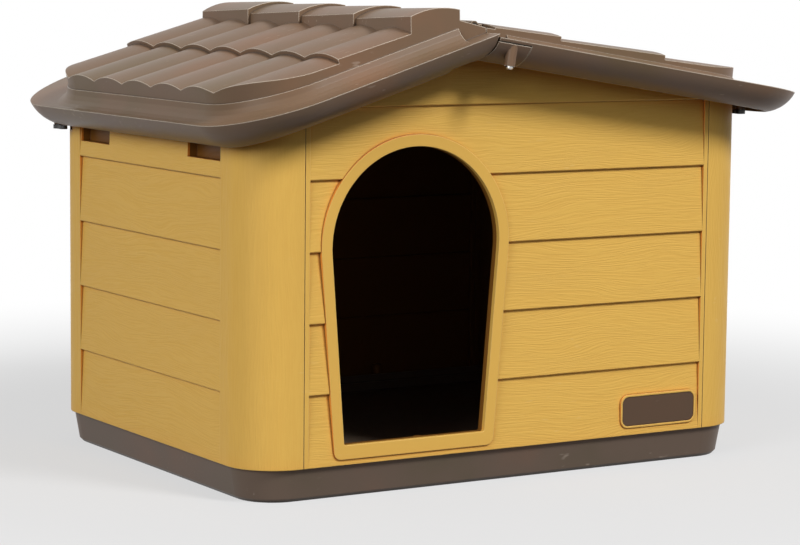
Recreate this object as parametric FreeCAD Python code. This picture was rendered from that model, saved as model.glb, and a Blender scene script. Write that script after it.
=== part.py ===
import FreeCAD, Part

import math
import os

V = FreeCAD.Vector

# Small moulded dog house with a gable roof.  Millimetres, +Z up, +X to the right when facing the
# doorway, +Y towards the back.  The origin is the middle of the base's footprint, on the floor.

# ---------------------------------------------------------------- driving dimensions: body
BODY_WIDTH = 519.0            # over the side walls
BODY_DEPTH = 390.0            # front wall face to back wall face
BODY_CORNER_R = 44.0          # rounded vertical corners, part of the side walls
WALL_T = 3.2                  # moulded wall thickness
WALL_FOOT_Z = 29.0            # bottom edge of the walls
FIRST_PLANK_H = 61.2          # wall foot to the first horizontal lap
LAP_PITCH = 60.1              # height of a plank
LAP_DEPTH = 2.8               # how far a plank's top leans in under the next one
LAP_BEVEL = 0.8
LEDGE_T = 3.0                 # thickness of the ledge behind a lap
SIDE_PLANK_HALF = 138.5       # half length of the planks on a side wall
PANEL_HALF = 210.0            # joint between the front or back panel and the side walls
PANEL_GAP = 0.6
JOINT_RIB_W = 5.7             # stiff rib along each side of that joint
FRONT_STRIP_W = 4.3
TONGUE_T = 2.0                # tongue of the front and back panels, held by a groove
TONGUE_L = 3.2
TONGUE_INSET = 3.6
TONGUE_FIT = 0.2
RAIL_DEPTH = 8.2              # thick top edge of all walls
RAIL_H = 6.0
FOOT_FLANGE_W = 16.0          # flange along the bottom of the walls
FOOT_FLANGE_T = 3.0

# ---------------------------------------------------------------- base tray
TRAY_INSET = 3.5              # the walls stand proud of the tray by this much
TRAY_TAPER = 4.5              # the skirt leans in by this much at the floor
TRAY_FOOT_BEVEL = 3.0
SKIRT_T = 3.2
SHOULDER_T = 3.0
SHOULDER_W = 20.5             # from the wall face to the recessed floor
LIP_H = 7.0                   # upstand that holds the walls from inside
LIP_T = 2.2
LIP_FIT = 0.5
FLOOR_TOP_Z = 20.0
FLOOR_T = 3.0
TRAY_RIB_T = 2.4
TRAY_RIB_Z = 0.0              # the ribs stand on the floor with the skirt
TRAY_RIBS_X = 9
TRAY_RIBS_Y = 7

# ---------------------------------------------------------------- doorway and name plate
DOOR_X = -101.0
DOOR_R = 83.5                 # arch radius
DOOR_ARCH_RISE = 184.0        # arch centre above the wall foot
DOOR_SILL_RISE = 16.8
DOOR_TAPER = 4.5              # degrees, the sides close in towards the sill
DOOR_CORNER_R = 2.0
TRIM_W = 10.0                 # raised surround
TRIM_SILL_W = 12.0
TRIM_CORNER_R = 7.0
TRIM_PROUD = 1.2
TRIM_DEPTH = 10.0
PLATE_FROM_JOINT = 50.7       # middle of the name plate, in from the right-hand joint
PLATE_RISE = 21.6             # middle of the name plate above the wall foot
PLATE_W = 80.0
PLATE_H = 26.0
PLATE_T = 2.0
PLATE_R = 6.0
PLATE_FIT = 0.3
PLATE_SUNK = 0.5
PLATE_RIM_W = 1.8
PLATE_RIM_PROUD = 0.8
PLATE_BACKING = 3.0
PLATE_PIN_R = 2.0
PLATE_PIN_L = 6.5
PLATE_PIN_X = 28.0

# ---------------------------------------------------------------- hand pockets in the left wall
POCKET_FROM_END = 31.5        # middle of a pocket, in from the end of the planks
POCKET_W = 60.0
POCKET_DROP = 37.05           # bottom of a pocket below the wall top
POCKET_H = 26.0
POCKET_DEPTH = 10.0
POCKET_WALL = 3.0

# ---------------------------------------------------------------- roof
JOINT_X = -52.0               # line where the two halves meet
JOINT_GAP = 0.6
LEFT_SLOPE = 0.313            # rise over run of the lid
RIGHT_SLOPE = 0.156           # rise over run of the fixed half
SEAT_APEX_Z = 386.5           # wall tops over the joint line
LEFT_RIM_RISE = 6.0           # rim planes over the wall tops at the joint line
RIGHT_RIM_RISE = 3.0
LEFT_OVERHANG = 35.0          # eaves and ends of the roof beyond the walls
RIGHT_OVERHANG = 51.0
END_OVERHANG = 50.0
RIM_R_FRONT = 80.0
RIM_R_REAR = 95.0
ROOF_T = 2.8
RIM_STEP = 0.3                # the flange starts this far inside the rim edge
CORNER_STEPS = 8              # sections of the fascia round a corner
LID_SEAT_GAP = 0.4
SEAT_RIB_T = 2.8
SEAT_RIB_INSET = 3.0
SEAT_RIB_REACH = 12.0         # the web hangs at most this far below the flange
BOSS_REACH = 40.0
WEB_INSET = 30.0              # webs stay this far in from the rim
JOINT_WEB_LIFT = 0.8          # web along the joint stays off the wall tops
# fascia profiles: inward distance and depth below the rim, at mid curve and at the lower edge
FASCIA_END = (22.0, 21.0)
FASCIA_END_MID = (8.5, 13.5)
LEFT_EAVE = (18.0, 24.8)
LEFT_EAVE_MID = (6.5, 15.0)
RIGHT_EAVE = (24.0, 20.5)
RIGHT_EAVE_MID = (9.5, 13.0)

# tile field: barrel tiles in columns down the slope, in stepped rows
FIELD_FRONT_IN = 21.5         # in from the front rim
TILE_PITCH = 56.5
TILE_COLUMNS = 7
LEFT_FIELD_IN = 17.5          # in from the eaves
RIGHT_FIELD_IN = 61.5
FIELD_R = 70.0
FIELD_DRAFT = 2.0
FIELD_DRAFT_H = 40.0
# hollow curve at the field's foot: reach over the flange and height, in steps
LEFT_FLARE = ((13.0, 0.0), (8.6, 1.2), (5.0, 3.4), (2.2, 7.2), (0.6, 12.0))
RIGHT_FLARE = ((8.0, 0.0), (4.4, 0.8), (1.8, 2.2), (0.4, 4.2))
FLARE_ROOT = 0.6              # solid of the flare below the flange's top
LEFT_TILE_SAG = 4.8
RIGHT_TILE_SAG = 3.2
# rows from the eave up: level length, height over the rim plane at the lower and upper end
LEFT_ROWS = ((88.0, 21.6, 19.2),)
LEFT_LAST_ROW = (22.8, 20.6)  # runs on under the ridge cap
RIGHT_ROWS = ((113.0, 11.6, 7.8), (112.0, 11.6, 7.6))
RIGHT_LAST_ROW = (11.2, 9.0)  # runs on under the plain strip along the joint
ROW_OVERLAP = 6.0
ROW_UNDER_RIDGE = 26.0

# ridge cap of the lid: tiles along the joint, each tall in front and lower behind
RIDGE_TILES = 4
RIDGE_PITCH = 95.0
RIDGE_LEFT = 74.0             # sides of the cap, left of the joint
RIDGE_RIGHT = 26.0
RIDGE_SIDE_RISE = 20.0        # over the wall tops at the joint line, at a tile's front end
RIDGE_CREST_RISE = 25.6
RIDGE_CROWN = 1.0
RIDGE_TAPER = 2.6             # a tile's back end is narrower and lower by this
RIDGE_SIDE_TAPER = 4.0        # its side is lower by this
SHOULDER_HIGH_RISE = 16.5
SHOULDER_LOW_RISE = 10.3
SHOULDER_OVER = 2.0           # beyond the tile field at each end, before trimming
FIXED_SHOULDER_W = 20.0       # plain strip of the fixed half along the joint

# ---------------------------------------------------------------- hinge
HINGE_RISE = 11.5             # axis over the wall tops at the joint line
KNUCKLE_R = 4.2
KNUCKLE_CLEAR = 0.6
PIN_R = 1.6
PIN_FIT = 0.08
HINGE_FRONT_IN = 18.5         # outer ends of the hinges, in from the tile field's ends
HINGE_REAR_IN = 10.0
KNUCKLE_END_L = 20.0
KNUCKLE_MID_L = 44.0
KNUCKLE_GAP = 0.4
PIN_HEAD_R = 2.6
PIN_HEAD_T = 1.2
PIN_HEAD_CLEAR = 0.4
PIN_BORE_OVER = 8.0           # the bore runs on past the knuckles to let the pin in
ROOT_W = 3.4                  # root of a knuckle: beyond its barrel, below and above the axis
ROOT_DOWN = 8.7
ROOT_UP = 1.2

# ---------------------------------------------------------------- joint covers on the fixed half
COVER_S = 34.0                # length along the slope
COVER_SLIT = 0.8
COVER_SEAT_IN = 7.0
NOSE_R = 18.0                 # rounded end of the lid's fascia
NOSE_FROM_JOINT = 1.4
NOSE_DROP = 17.9              # below the wall tops at the joint line
NOSE_L = 14.0                 # solid length of fascia behind the nose
COVER_TIP = 9.0               # the cover reaches this far past the joint
COVER_RUN = 20.0
BOSS_S = 17.3
BOSS_IN = 6.4                 # inward from the rim
BOSS_R = 4.7
BOSS_BOTTOM = 22.3
PILOT_R = 2.9
PILOT_DEPTH = 9.0
PILOT_FIT = 0.25
PILOT_END = 0.8               # solid end of a blind hole

# ---------------------------------------------------------------- screws and latches
SCREW_R = 1.6
SCREW_FIT = 0.25
SCREW_HEAD_R = 3.4
SCREW_HEAD_T = 2.4
SCREW_SLOT_W = 0.9
SCREW_SLOT_T = 1.1
SCREW_ROUND = 0.96            # round of the head's edge
SCREW_CROSS = 2.1             # half length of the cross recess
SCREW_END = 1.0               # a screw stops short of its hole's end by this
COVER_SCREW_L = 17.0
LATCH_OUT = 8.0               # pivot, out from the side wall; left one at the back, right one in front
LATCH_FROM_END = 27.0         # pivot, in from the front or back wall
LEFT_LATCH_DROP = 27.2        # top of a latch below the rim plane
RIGHT_LATCH_DROP = 21.46
LATCH_T = 3.6
LATCH_SEAT_T = 2.2            # depth of the recess for the screw head
LATCH_HUB_R = 4.8
LATCH_HALF_W = 3.4
LATCH_L = 15.0
LATCH_HOLE_R = 1.9
LATCH_BOSS_R = 4.0
LATCH_GAP = 0.3
LATCH_SLOT_CLEAR = 1.2
LATCH_SLOT_Y0 = -13.0
LATCH_SLOT_Y1 = 5.2
LATCH_SLOT_L = 21.0
LATCH_HEAD_FIT = 0.4
LATCH_HOLE_START = 2.0
LATCH_HOLE_STOP = 5.0
LATCH_SCREW_L = 14.0
BASE_BOSS_R = 4.6
BASE_BOSS_H = 16.0
BASE_BOSS_IN = 11.3
BASE_SCREW_L = 15.0
BASE_SCREW_SPREAD = 90.0
EAR_T = 4.0
EAR_R = 8.0
EAR_IN = 12.0
EAR_DROP = 12.0               # top of a roof screw ear below the wall top
ROOF_SCREW_X = 120.0
ROOF_SCREW_Y = 95.0
ROOF_SCREW_L = 16.0
ROOF_BOSS_R = 4.2

# blocks that only cut or are cut run past the model by these
PAST = 60.0
FAR = 700.0
OVER = 1.0

# ---------------------------------------------------------------- values that follow from the above
HALF_W = BODY_WIDTH / 2
HALF_D = BODY_DEPTH / 2
TALL = SEAT_APEX_Z + PAST
LEFT_ANGLE = math.atan(LEFT_SLOPE)
RIGHT_ANGLE = math.atan(RIGHT_SLOPE)
LAP_FIRST_Z = WALL_FOOT_Z + FIRST_PLANK_H
PLANK_LEVELS = 1 + math.ceil((SEAT_APEX_Z - LAP_FIRST_Z) / LAP_PITCH)
LAP_Z = [LAP_FIRST_Z + LAP_PITCH * level for level in range(PLANK_LEVELS)]
DOOR_ARCH_Z = WALL_FOOT_Z + DOOR_ARCH_RISE
DOOR_SILL_Z = WALL_FOOT_Z + DOOR_SILL_RISE
PLATE_X = PANEL_HALF - PLATE_FROM_JOINT
PLATE_Z = WALL_FOOT_Z + PLATE_RISE
POCKET_Y = SIDE_PLANK_HALF - POCKET_FROM_END
LEFT_RIM_Z = SEAT_APEX_Z + LEFT_RIM_RISE
RIGHT_RIM_Z = SEAT_APEX_Z + RIGHT_RIM_RISE
LEFT_EAVE_X = -HALF_W - LEFT_OVERHANG
RIGHT_EAVE_X = HALF_W + RIGHT_OVERHANG
RIM_HALF = HALF_D + END_OVERHANG
FIELD_FRONT_Y = -RIM_HALF + FIELD_FRONT_IN
FIELD_REAR_Y = FIELD_FRONT_Y + TILE_PITCH * TILE_COLUMNS
LEFT_FIELD_X = LEFT_EAVE_X + LEFT_FIELD_IN
RIGHT_FIELD_X = RIGHT_EAVE_X - RIGHT_FIELD_IN
RIDGE_LEFT_X = JOINT_X - RIDGE_LEFT
RIDGE_RIGHT_X = JOINT_X - RIDGE_RIGHT
RIDGE_SIDE_Z = SEAT_APEX_Z + RIDGE_SIDE_RISE
RIDGE_CREST_Z = SEAT_APEX_Z + RIDGE_CREST_RISE
SHOULDER_HIGH_Z = SEAT_APEX_Z + SHOULDER_HIGH_RISE
SHOULDER_LOW_Z = SEAT_APEX_Z + SHOULDER_LOW_RISE
HINGE_Z = SEAT_APEX_Z + HINGE_RISE
NOSE_X = JOINT_X - NOSE_FROM_JOINT
NOSE_Z = SEAT_APEX_Z - NOSE_DROP
COVER_TIP_X = JOINT_X - COVER_TIP
LATCH_X = HALF_W + LATCH_OUT
LATCH_Y = HALF_D - LATCH_FROM_END


# ================================================================ helpers
def box(x0, x1, y0, y1, z0, z1):
    return Part.makeBox(x1 - x0, y1 - y0, z1 - z0, V(x0, y0, z0))


def cylinder(radius, height, base, axis=V(0, 0, 1)):
    return Part.makeCylinder(radius, height, base, axis)


def union(shapes):
    whole = shapes[0].fuse(list(shapes[1:])) if len(shapes) > 1 else shapes[0]
    return whole.removeSplitter()


def polygon_face(points):
    return Part.Face(Part.makePolygon(points + [points[0]]))


def rounded_rectangle(half_x, half_y, radius, z):
    """A wire of four lines and four quarter arcs."""
    edges = []
    for turn in range(4):
        out_x, out_y = ((half_x, half_y), (half_y, half_x))[turn % 2]
        bulge = radius * (1 - math.sqrt(0.5))
        points = [V(out_x, -out_y + radius, z), V(out_x, out_y - radius, z)]
        points += [V(out_x - bulge, out_y - bulge, z), V(out_x - radius, out_y, z)]
        spin = FreeCAD.Rotation(V(0, 0, 1), 90 * turn)
        start, end, mid, turned = [spin.multVec(point) for point in points]
        edges.append(Part.LineSegment(start, end).toShape())
        edges.append(Part.Arc(end, mid, turned).toShape())
    return Part.Wire(edges)


def body_wire(inset, z):
    return rounded_rectangle(HALF_W - inset, HALF_D - inset, BODY_CORNER_R - inset, z)


def body_block(inset, z0, z1):
    return Part.Face(body_wire(inset, z0)).extrude(V(0, 0, z1 - z0))


def body_ring(inset_out, inset_in, z0, z1):
    return body_block(inset_out, z0, z1).cut(body_block(inset_in, z0 - OVER, z1 + OVER))


def left_plane(x, top):
    return top + LEFT_SLOPE * (x - JOINT_X)


def right_plane(x, top):
    return top - RIGHT_SLOPE * (x - JOINT_X)


def above_gable(drop):
    """Everything above the wall tops, lowered by drop."""
    apex = SEAT_APEX_Z - drop
    far = HALF_W + PAST
    high = TALL + PAST
    outline = [V(-far, -far, left_plane(-far, apex)), V(JOINT_X, -far, apex)]
    outline += [V(far, -far, right_plane(far, apex)), V(far, -far, high), V(-far, -far, high)]
    return polygon_face(outline).extrude(V(0, 2 * far, 0))


def wall_top(x):
    return left_plane(x, SEAT_APEX_Z) if x < JOINT_X else right_plane(x, SEAT_APEX_Z)


def to_side(shape, side):
    """Take a panel drawn along X with its depth along +Y to one of the four sides."""
    turned = shape.copy()
    angle = {"front": 0, "right": 90, "back": 180, "left": -90}[side]
    reach = HALF_D if side in ("front", "back") else HALF_W
    turned.translate(V(0, -reach, 0))
    turned.rotate(V(0, 0, 0), V(0, 0, 1), angle)
    return turned


def screw(base, axis, length):
    """A pan-head screw: base is the seat under the head, axis points to its tip."""
    shank = cylinder(SCREW_R, length, V(0, 0, 0))
    head = cylinder(SCREW_HEAD_R, SCREW_HEAD_T, V(0, 0, -SCREW_HEAD_T))
    head = head.makeFillet(SCREW_ROUND, [head.Edges[2]])
    body = union([shank, head])
    narrow = SCREW_SLOT_W / 2
    for half_x, half_y in ((narrow, SCREW_CROSS), (SCREW_CROSS, narrow)):
        body = body.cut(box(-half_x, half_x, -half_y, half_y, -SCREW_HEAD_T - OVER,
                            -SCREW_HEAD_T + SCREW_SLOT_T))
    body.Placement = FreeCAD.Placement(base, FreeCAD.Rotation(V(0, 0, 1), axis))
    return body


# ================================================================ walls
def plank_profile():
    """Closed outline of the leaning planks, depth along Y."""
    last = LAP_Z[-1] + LAP_PITCH
    outline = [V(0, 0, WALL_FOOT_Z)]
    for z in LAP_Z:
        outline += [V(0, LAP_DEPTH, z), V(0, LAP_BEVEL, z), V(0, 0, z + LAP_BEVEL)]
    outline += [V(0, LAP_DEPTH, last), V(0, LAP_DEPTH + WALL_T, last)]
    for z in reversed(LAP_Z):
        outline += [V(0, WALL_T, z + LEDGE_T), V(0, LAP_DEPTH + WALL_T, z + LEDGE_T)]
    outline += [V(0, WALL_T, WALL_FOOT_Z)]
    return polygon_face(outline)


def plank_strip(half_length):
    """Leaning planks with the upright webs that close their ends."""
    strip = plank_profile()
    strip.translate(V(-half_length, 0, 0))
    strip = strip.extrude(V(2 * half_length, 0, 0))
    webs = []
    for side in (-1, 1):
        inner = side * half_length
        outer = side * (half_length + WALL_T)
        webs.append(box(min(inner, outer), max(inner, outer), 0, LAP_DEPTH + WALL_T,
                        WALL_FOOT_Z, TALL))
    return union([strip] + webs)


def plank_window(half_length):
    return box(-half_length, half_length, -OVER, WALL_T + OVER, WALL_FOOT_Z - OVER, TALL + OVER)


def rail_ring():
    """Thick top edge of all four walls, and the flange round their foot."""
    rail = body_ring(0, RAIL_DEPTH, WALL_FOOT_Z, TALL)
    rail = rail.common(above_gable(RAIL_H)).cut(above_gable(0))
    foot = body_ring(WALL_T / 2, FOOT_FLANGE_W, WALL_FOOT_Z, WALL_FOOT_Z + FOOT_FLANGE_T)
    return [rail, foot]


def base_screw_points(side):
    reach = HALF_D if side in ("front", "back") else HALF_W
    along = -reach + BASE_BOSS_IN
    places = {"front": lambda t: V(t, along, 0), "back": lambda t: V(t, -along, 0),
              "left": lambda t: V(along, t, 0), "right": lambda t: V(-along, t, 0)}
    return [places[side](t) for t in (-BASE_SCREW_SPREAD, BASE_SCREW_SPREAD)]


def with_base_bosses(shape, side):
    """Screw bosses standing on the foot flange."""
    top = WALL_FOOT_Z + BASE_BOSS_H
    for point in base_screw_points(side):
        point.z = WALL_FOOT_Z
        shape = shape.fuse(cylinder(BASE_BOSS_R, top - WALL_FOOT_Z, point))
        shape = shape.cut(cylinder(SCREW_R, top - WALL_FOOT_Z - PILOT_END, point))
    return shape


def roof_screw_points():
    reach_y = HALF_D - RAIL_DEPTH - EAR_IN
    reach_x = HALF_W - RAIL_DEPTH - EAR_IN
    return {"front": [V(ROOF_SCREW_X, -reach_y, 0)], "back": [V(ROOF_SCREW_X, reach_y, 0)],
            "right": [V(reach_x, -ROOF_SCREW_Y, 0), V(reach_x, ROOF_SCREW_Y, 0)]}


def ear_top(point):
    return wall_top(point.x) - EAR_DROP


def with_roof_ears(shape, side):
    """Inward ears that take the screws of the fixed roof half."""
    for point in roof_screw_points().get(side, []):
        top = ear_top(point)
        wall_x = math.copysign(HALF_W - WALL_T, point.x) if side == "right" else point.x
        wall_y = math.copysign(HALF_D - WALL_T, point.y) if side != "right" else point.y
        ear = cylinder(EAR_R, EAR_T, V(point.x, point.y, top - EAR_T))
        half_x = EAR_R if side != "right" else abs(wall_x - point.x) / 2
        half_y = EAR_R if side == "right" else abs(wall_y - point.y) / 2
        middle = V((point.x + wall_x) / 2, (point.y + wall_y) / 2, 0)
        ear = ear.fuse(box(middle.x - half_x, middle.x + half_x, middle.y - half_y,
                           middle.y + half_y, top - EAR_T, top))
        shape = shape.fuse(ear)
        low = V(point.x, point.y, top - EAR_T - OVER)
        hole = cylinder(SCREW_R + SCREW_FIT, EAR_T + 2 * OVER, low)
        shape = shape.cut(hole)
    return shape


def end_panel(side):
    """Plain front or back panel between the side walls, before its doorway."""
    edge = PANEL_HALF - PANEL_GAP / 2
    plank_half = edge - FRONT_STRIP_W
    strip = plank_strip(plank_half)
    ribs = []
    for sign in (-1, 1):
        inner = sign * plank_half
        outer = sign * edge
        tip = sign * (edge + TONGUE_L)
        ribs.append(box(min(inner, outer), max(inner, outer), 0, RAIL_DEPTH, WALL_FOOT_Z, TALL))
        ribs.append(box(min(outer, tip), max(outer, tip), TONGUE_INSET, TONGUE_INSET + TONGUE_T,
                        WALL_FOOT_Z + FOOT_FLANGE_T, TALL))
    panel = to_side(union([strip] + ribs), side)
    y_in = HALF_D - FOOT_FLANGE_W - OVER
    sector = box(-edge, edge, -HALF_D - OVER, -y_in, 0, TALL)
    if side == "back":
        sector = box(-edge, edge, y_in, HALF_D + OVER, 0, TALL)
    frame = [piece.common(sector) for piece in rail_ring()]
    panel = with_base_bosses(panel.fuse(frame), side)
    panel = with_roof_ears(panel, side)
    return panel.cut(above_gable(0))


def side_wall(side):
    """A side wall with both of its rounded corners, from joint to joint."""
    sign = -1 if side == "left" else 1
    edge = PANEL_HALF + PANEL_GAP / 2
    sector = box(edge, HALF_W + OVER, -HALF_D - OVER, HALF_D + OVER, 0, TALL)
    if sign < 0:
        sector = box(-HALF_W - OVER, -edge, -HALF_D - OVER, HALF_D + OVER, 0, TALL)
    shell = body_ring(0, WALL_T, WALL_FOOT_Z, TALL).common(sector)
    shell = shell.cut(to_side(plank_window(SIDE_PLANK_HALF), side))
    pieces = [shell, to_side(plank_strip(SIDE_PLANK_HALF), side)]
    pieces += [piece.common(sector) for piece in rail_ring()]
    for end in (-1, 1):
        outer = end * HALF_D
        inner = end * (HALF_D - RAIL_DEPTH)
        x0 = min(sign * edge, sign * (edge + JOINT_RIB_W))
        pieces.append(box(x0, x0 + JOINT_RIB_W, min(outer, inner), max(outer, inner),
                          WALL_FOOT_Z, TALL))
    wall = pieces[0].fuse(pieces[1:])
    for end in (-1, 1):
        deep = end * (HALF_D - TONGUE_INSET - TONGUE_T - TONGUE_FIT)
        shallow = end * (HALF_D - TONGUE_INSET + TONGUE_FIT)
        x0 = min(sign * (edge - OVER), sign * (edge - PANEL_GAP + TONGUE_L + TONGUE_FIT))
        width = TONGUE_L + TONGUE_FIT - PANEL_GAP + OVER
        wall = wall.cut(box(x0, x0 + width, min(deep, shallow), max(deep, shallow),
                            WALL_FOOT_Z + FOOT_FLANGE_T - TONGUE_FIT, TALL))
    wall = with_base_bosses(wall, side)
    wall = with_roof_ears(wall, side)
    return wall.cut(above_gable(0))


def with_hand_pockets(wall):
    """Two recesses under the lid's eave for lifting it."""
    half = POCKET_W / 2
    low = wall_top(-HALF_W) - POCKET_DROP
    top = low + POCKET_H
    for y in (-POCKET_Y, POCKET_Y):
        shell = box(y - half - POCKET_WALL, y + half + POCKET_WALL, WALL_T / 2,
                    POCKET_DEPTH + POCKET_WALL, low - POCKET_WALL, top + POCKET_WALL)
        hollow = box(y - half, y + half, -OVER, POCKET_DEPTH, low, top)
        wall = wall.fuse(to_side(shell, "left")).cut(to_side(hollow, "left"))
    return wall


def latch_top(sign):
    if sign < 0:
        return left_plane(-LATCH_X, LEFT_RIM_Z) - LEFT_LATCH_DROP
    return right_plane(LATCH_X, RIGHT_RIM_Z) - RIGHT_LATCH_DROP


def latch_slot(sign):
    """Slot in a rounded corner that a turned latch reaches into."""
    z1 = latch_top(sign) + LATCH_SLOT_CLEAR
    z0 = latch_top(sign) - LATCH_T - LATCH_SLOT_CLEAR
    slot = box(0, LATCH_SLOT_L, LATCH_SLOT_Y0, LATCH_SLOT_Y1, z0, z1)
    slot.translate(V(-LATCH_X, LATCH_Y, 0))
    if sign > 0:
        slot.rotate(V(0, 0, 0), V(0, 0, 1), 180)
    return slot


def left_wall():
    wall = with_hand_pockets(side_wall("left"))
    return wall.cut(latch_slot(-1)).removeSplitter()


def right_wall():
    return side_wall("right").cut(latch_slot(1)).removeSplitter()


# ================================================================ front panel
def doorway_wire(grow, sill_z, corner_r, y):
    """Arch over two straight sides that close in towards the sill."""
    radius = DOOR_R + grow
    lean = math.radians(DOOR_TAPER)
    reach = (DOOR_ARCH_Z - sill_z - radius * math.sin(lean)) / math.cos(lean)
    side_x = radius * math.cos(lean)
    side_z = DOOR_ARCH_Z - radius * math.sin(lean)
    foot_x = side_x - reach * math.sin(lean)
    bend = corner_r * math.tan(math.radians(90 - DOOR_TAPER) / 2)
    edges = [Part.Arc(V(DOOR_X + side_x, y, side_z), V(DOOR_X, y, DOOR_ARCH_Z + radius),
                      V(DOOR_X - side_x, y, side_z)).toShape()]
    for sign in (-1, 1):
        corner = V(DOOR_X + sign * foot_x, y, sill_z)
        up = V(sign * math.sin(lean), 0, math.cos(lean))
        along = V(-sign, 0, 0)
        start = corner + up * bend
        end = corner + along * bend
        centre = start + V(-sign * math.cos(lean), 0, math.sin(lean)) * corner_r
        to_corner = (corner - centre).normalize()
        edges.append(Part.LineSegment(V(DOOR_X + sign * side_x, y, side_z), start).toShape())
        edges.append(Part.Arc(start, centre + to_corner * corner_r, end).toShape())
    sill = [V(DOOR_X + sign * (foot_x - bend), y, sill_z) for sign in (-1, 1)]
    edges.append(Part.LineSegment(sill[0], sill[1]).toShape())
    return Part.Wire(Part.__sortEdges__(edges))


def doorway_block(grow, sill_z, corner_r, y0, y1):
    return Part.Face(doorway_wire(grow, sill_z, corner_r, y0)).extrude(V(0, y1 - y0, 0))


def upright_plate(width, height, radius, y0, y1):
    """Rounded plate standing in the front wall at the name plate's place."""
    face = Part.Face(rounded_rectangle(width / 2, height / 2, radius, 0))
    plate = face.extrude(V(0, 0, y1 - y0))
    plate.rotate(V(0, 0, 0), V(1, 0, 0), 90)
    plate.translate(V(PLATE_X, y1, PLATE_Z))
    return plate


def plate_pins(radius, y0, y1):
    return [cylinder(radius, y1 - y0, V(PLATE_X + side * PLATE_PIN_X, y0, PLATE_Z), V(0, 1, 0))
            for side in (-1, 1)]


def plate_face_y():
    return -HALF_D - PLATE_RIM_PROUD + PLATE_SUNK


def front_panel():
    panel = end_panel("front")
    front = -HALF_D - TRIM_PROUD
    trim_sill = DOOR_SILL_Z - TRIM_SILL_W
    back = front + TRIM_DEPTH
    trim = doorway_block(TRIM_W, trim_sill, TRIM_CORNER_R, front, back)
    panel = panel.fuse(trim)
    inner = -HALF_D + FOOT_FLANGE_W + OVER
    hole = doorway_block(0, DOOR_SILL_Z, DOOR_CORNER_R, front - OVER, inner)
    panel = panel.cut(hole)
    seat_y = plate_face_y() + PLATE_T
    rim_w = PLATE_W + 2 * (PLATE_FIT + PLATE_RIM_W)
    rim_h = PLATE_H + 2 * (PLATE_FIT + PLATE_RIM_W)
    rim = upright_plate(rim_w, rim_h, PLATE_R + PLATE_FIT + PLATE_RIM_W,
                        -HALF_D - PLATE_RIM_PROUD, seat_y + PLATE_BACKING)
    recess = upright_plate(PLATE_W + 2 * PLATE_FIT, PLATE_H + 2 * PLATE_FIT, PLATE_R + PLATE_FIT,
                           -HALF_D - PLATE_RIM_PROUD - OVER, seat_y)
    panel = panel.fuse(rim).cut(recess)
    for pin in plate_pins(PLATE_PIN_R + PLATE_FIT, seat_y - OVER, seat_y + PLATE_PIN_L + OVER):
        panel = panel.cut(pin)
    return panel.removeSplitter()


def back_panel():
    return end_panel("back").removeSplitter()


def name_plate():
    face_y = plate_face_y()
    plate = upright_plate(PLATE_W, PLATE_H, PLATE_R, face_y, face_y + PLATE_T)
    pins = plate_pins(PLATE_PIN_R, face_y + PLATE_T / 2, face_y + PLATE_T + PLATE_PIN_L)
    return union([plate] + pins)


# ================================================================ base tray
def base_tray():
    foot_inset = TRAY_INSET + TRAY_TAPER

    def skirt(extra):
        low = body_wire(foot_inset + TRAY_FOOT_BEVEL + extra, 0)
        knee = body_wire(foot_inset + extra, TRAY_FOOT_BEVEL)
        top = body_wire(TRAY_INSET + extra, WALL_FOOT_Z)
        return Part.makeLoft([low, knee], True, True).fuse(Part.makeLoft([knee, top], True, True))

    lip_inset = FOOT_FLANGE_W + LIP_FIT
    hollow = skirt(SKIRT_T).common(body_block(0, -OVER, WALL_FOOT_Z - SHOULDER_T))
    tray = skirt(0).cut(hollow)
    lip = body_ring(lip_inset, lip_inset + LIP_T, WALL_FOOT_Z - OVER, WALL_FOOT_Z + LIP_H)
    riser = body_ring(SHOULDER_W - LIP_T, SHOULDER_W, FLOOR_TOP_Z - FLOOR_T, WALL_FOOT_Z)
    tray = tray.cut(body_block(SHOULDER_W, FLOOR_TOP_Z, WALL_FOOT_Z + OVER))
    deck = body_block(SHOULDER_W - LIP_T, FLOOR_TOP_Z - FLOOR_T, FLOOR_TOP_Z)
    tray = tray.fuse([lip, riser, deck])
    inside = body_block(SHOULDER_W - LIP_T, TRAY_RIB_Z, FLOOR_TOP_Z - FLOOR_T / 2)
    ribs = []
    for index in range(TRAY_RIBS_X):
        x = BODY_WIDTH * ((index + 0.5) / TRAY_RIBS_X - 0.5)
        ribs.append(box(x - TRAY_RIB_T / 2, x + TRAY_RIB_T / 2, -HALF_D, HALF_D, 0, WALL_FOOT_Z))
    for index in range(TRAY_RIBS_Y):
        y = BODY_DEPTH * ((index + 0.5) / TRAY_RIBS_Y - 0.5)
        ribs.append(box(-HALF_W, HALF_W, y - TRAY_RIB_T / 2, y + TRAY_RIB_T / 2, 0, WALL_FOOT_Z))
    tray = tray.fuse([rib.common(inside) for rib in ribs])
    for side in ("front", "back", "left", "right"):
        for point in base_screw_points(side):
            point.z = WALL_FOOT_Z - SHOULDER_T - OVER
            tray = tray.cut(cylinder(SCREW_R + SCREW_FIT, SHOULDER_T + 2 * OVER, point))
    return tray.removeSplitter()


def base_screws(side):
    seat = WALL_FOOT_Z - SHOULDER_T
    return [screw(V(point.x, point.y, seat), V(0, 0, 1), BASE_SCREW_L)
            for point in base_screw_points(side)]


# ================================================================ roof halves
def slope_place(shape, side):
    """Move a shape drawn in the rim plane (X down the slope, Z off it) to a roof half."""
    if side == "left":
        placed = shape.mirror(V(0, 0, 0), V(1, 0, 0))
        placed.rotate(V(0, 0, 0), V(0, 1, 0), -math.degrees(LEFT_ANGLE))
        placed.translate(V(JOINT_X, 0, LEFT_RIM_Z))
        return placed
    placed = shape.copy()
    placed.rotate(V(0, 0, 0), V(0, 1, 0), math.degrees(RIGHT_ANGLE))
    placed.translate(V(JOINT_X, 0, RIGHT_RIM_Z))
    return placed


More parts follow.
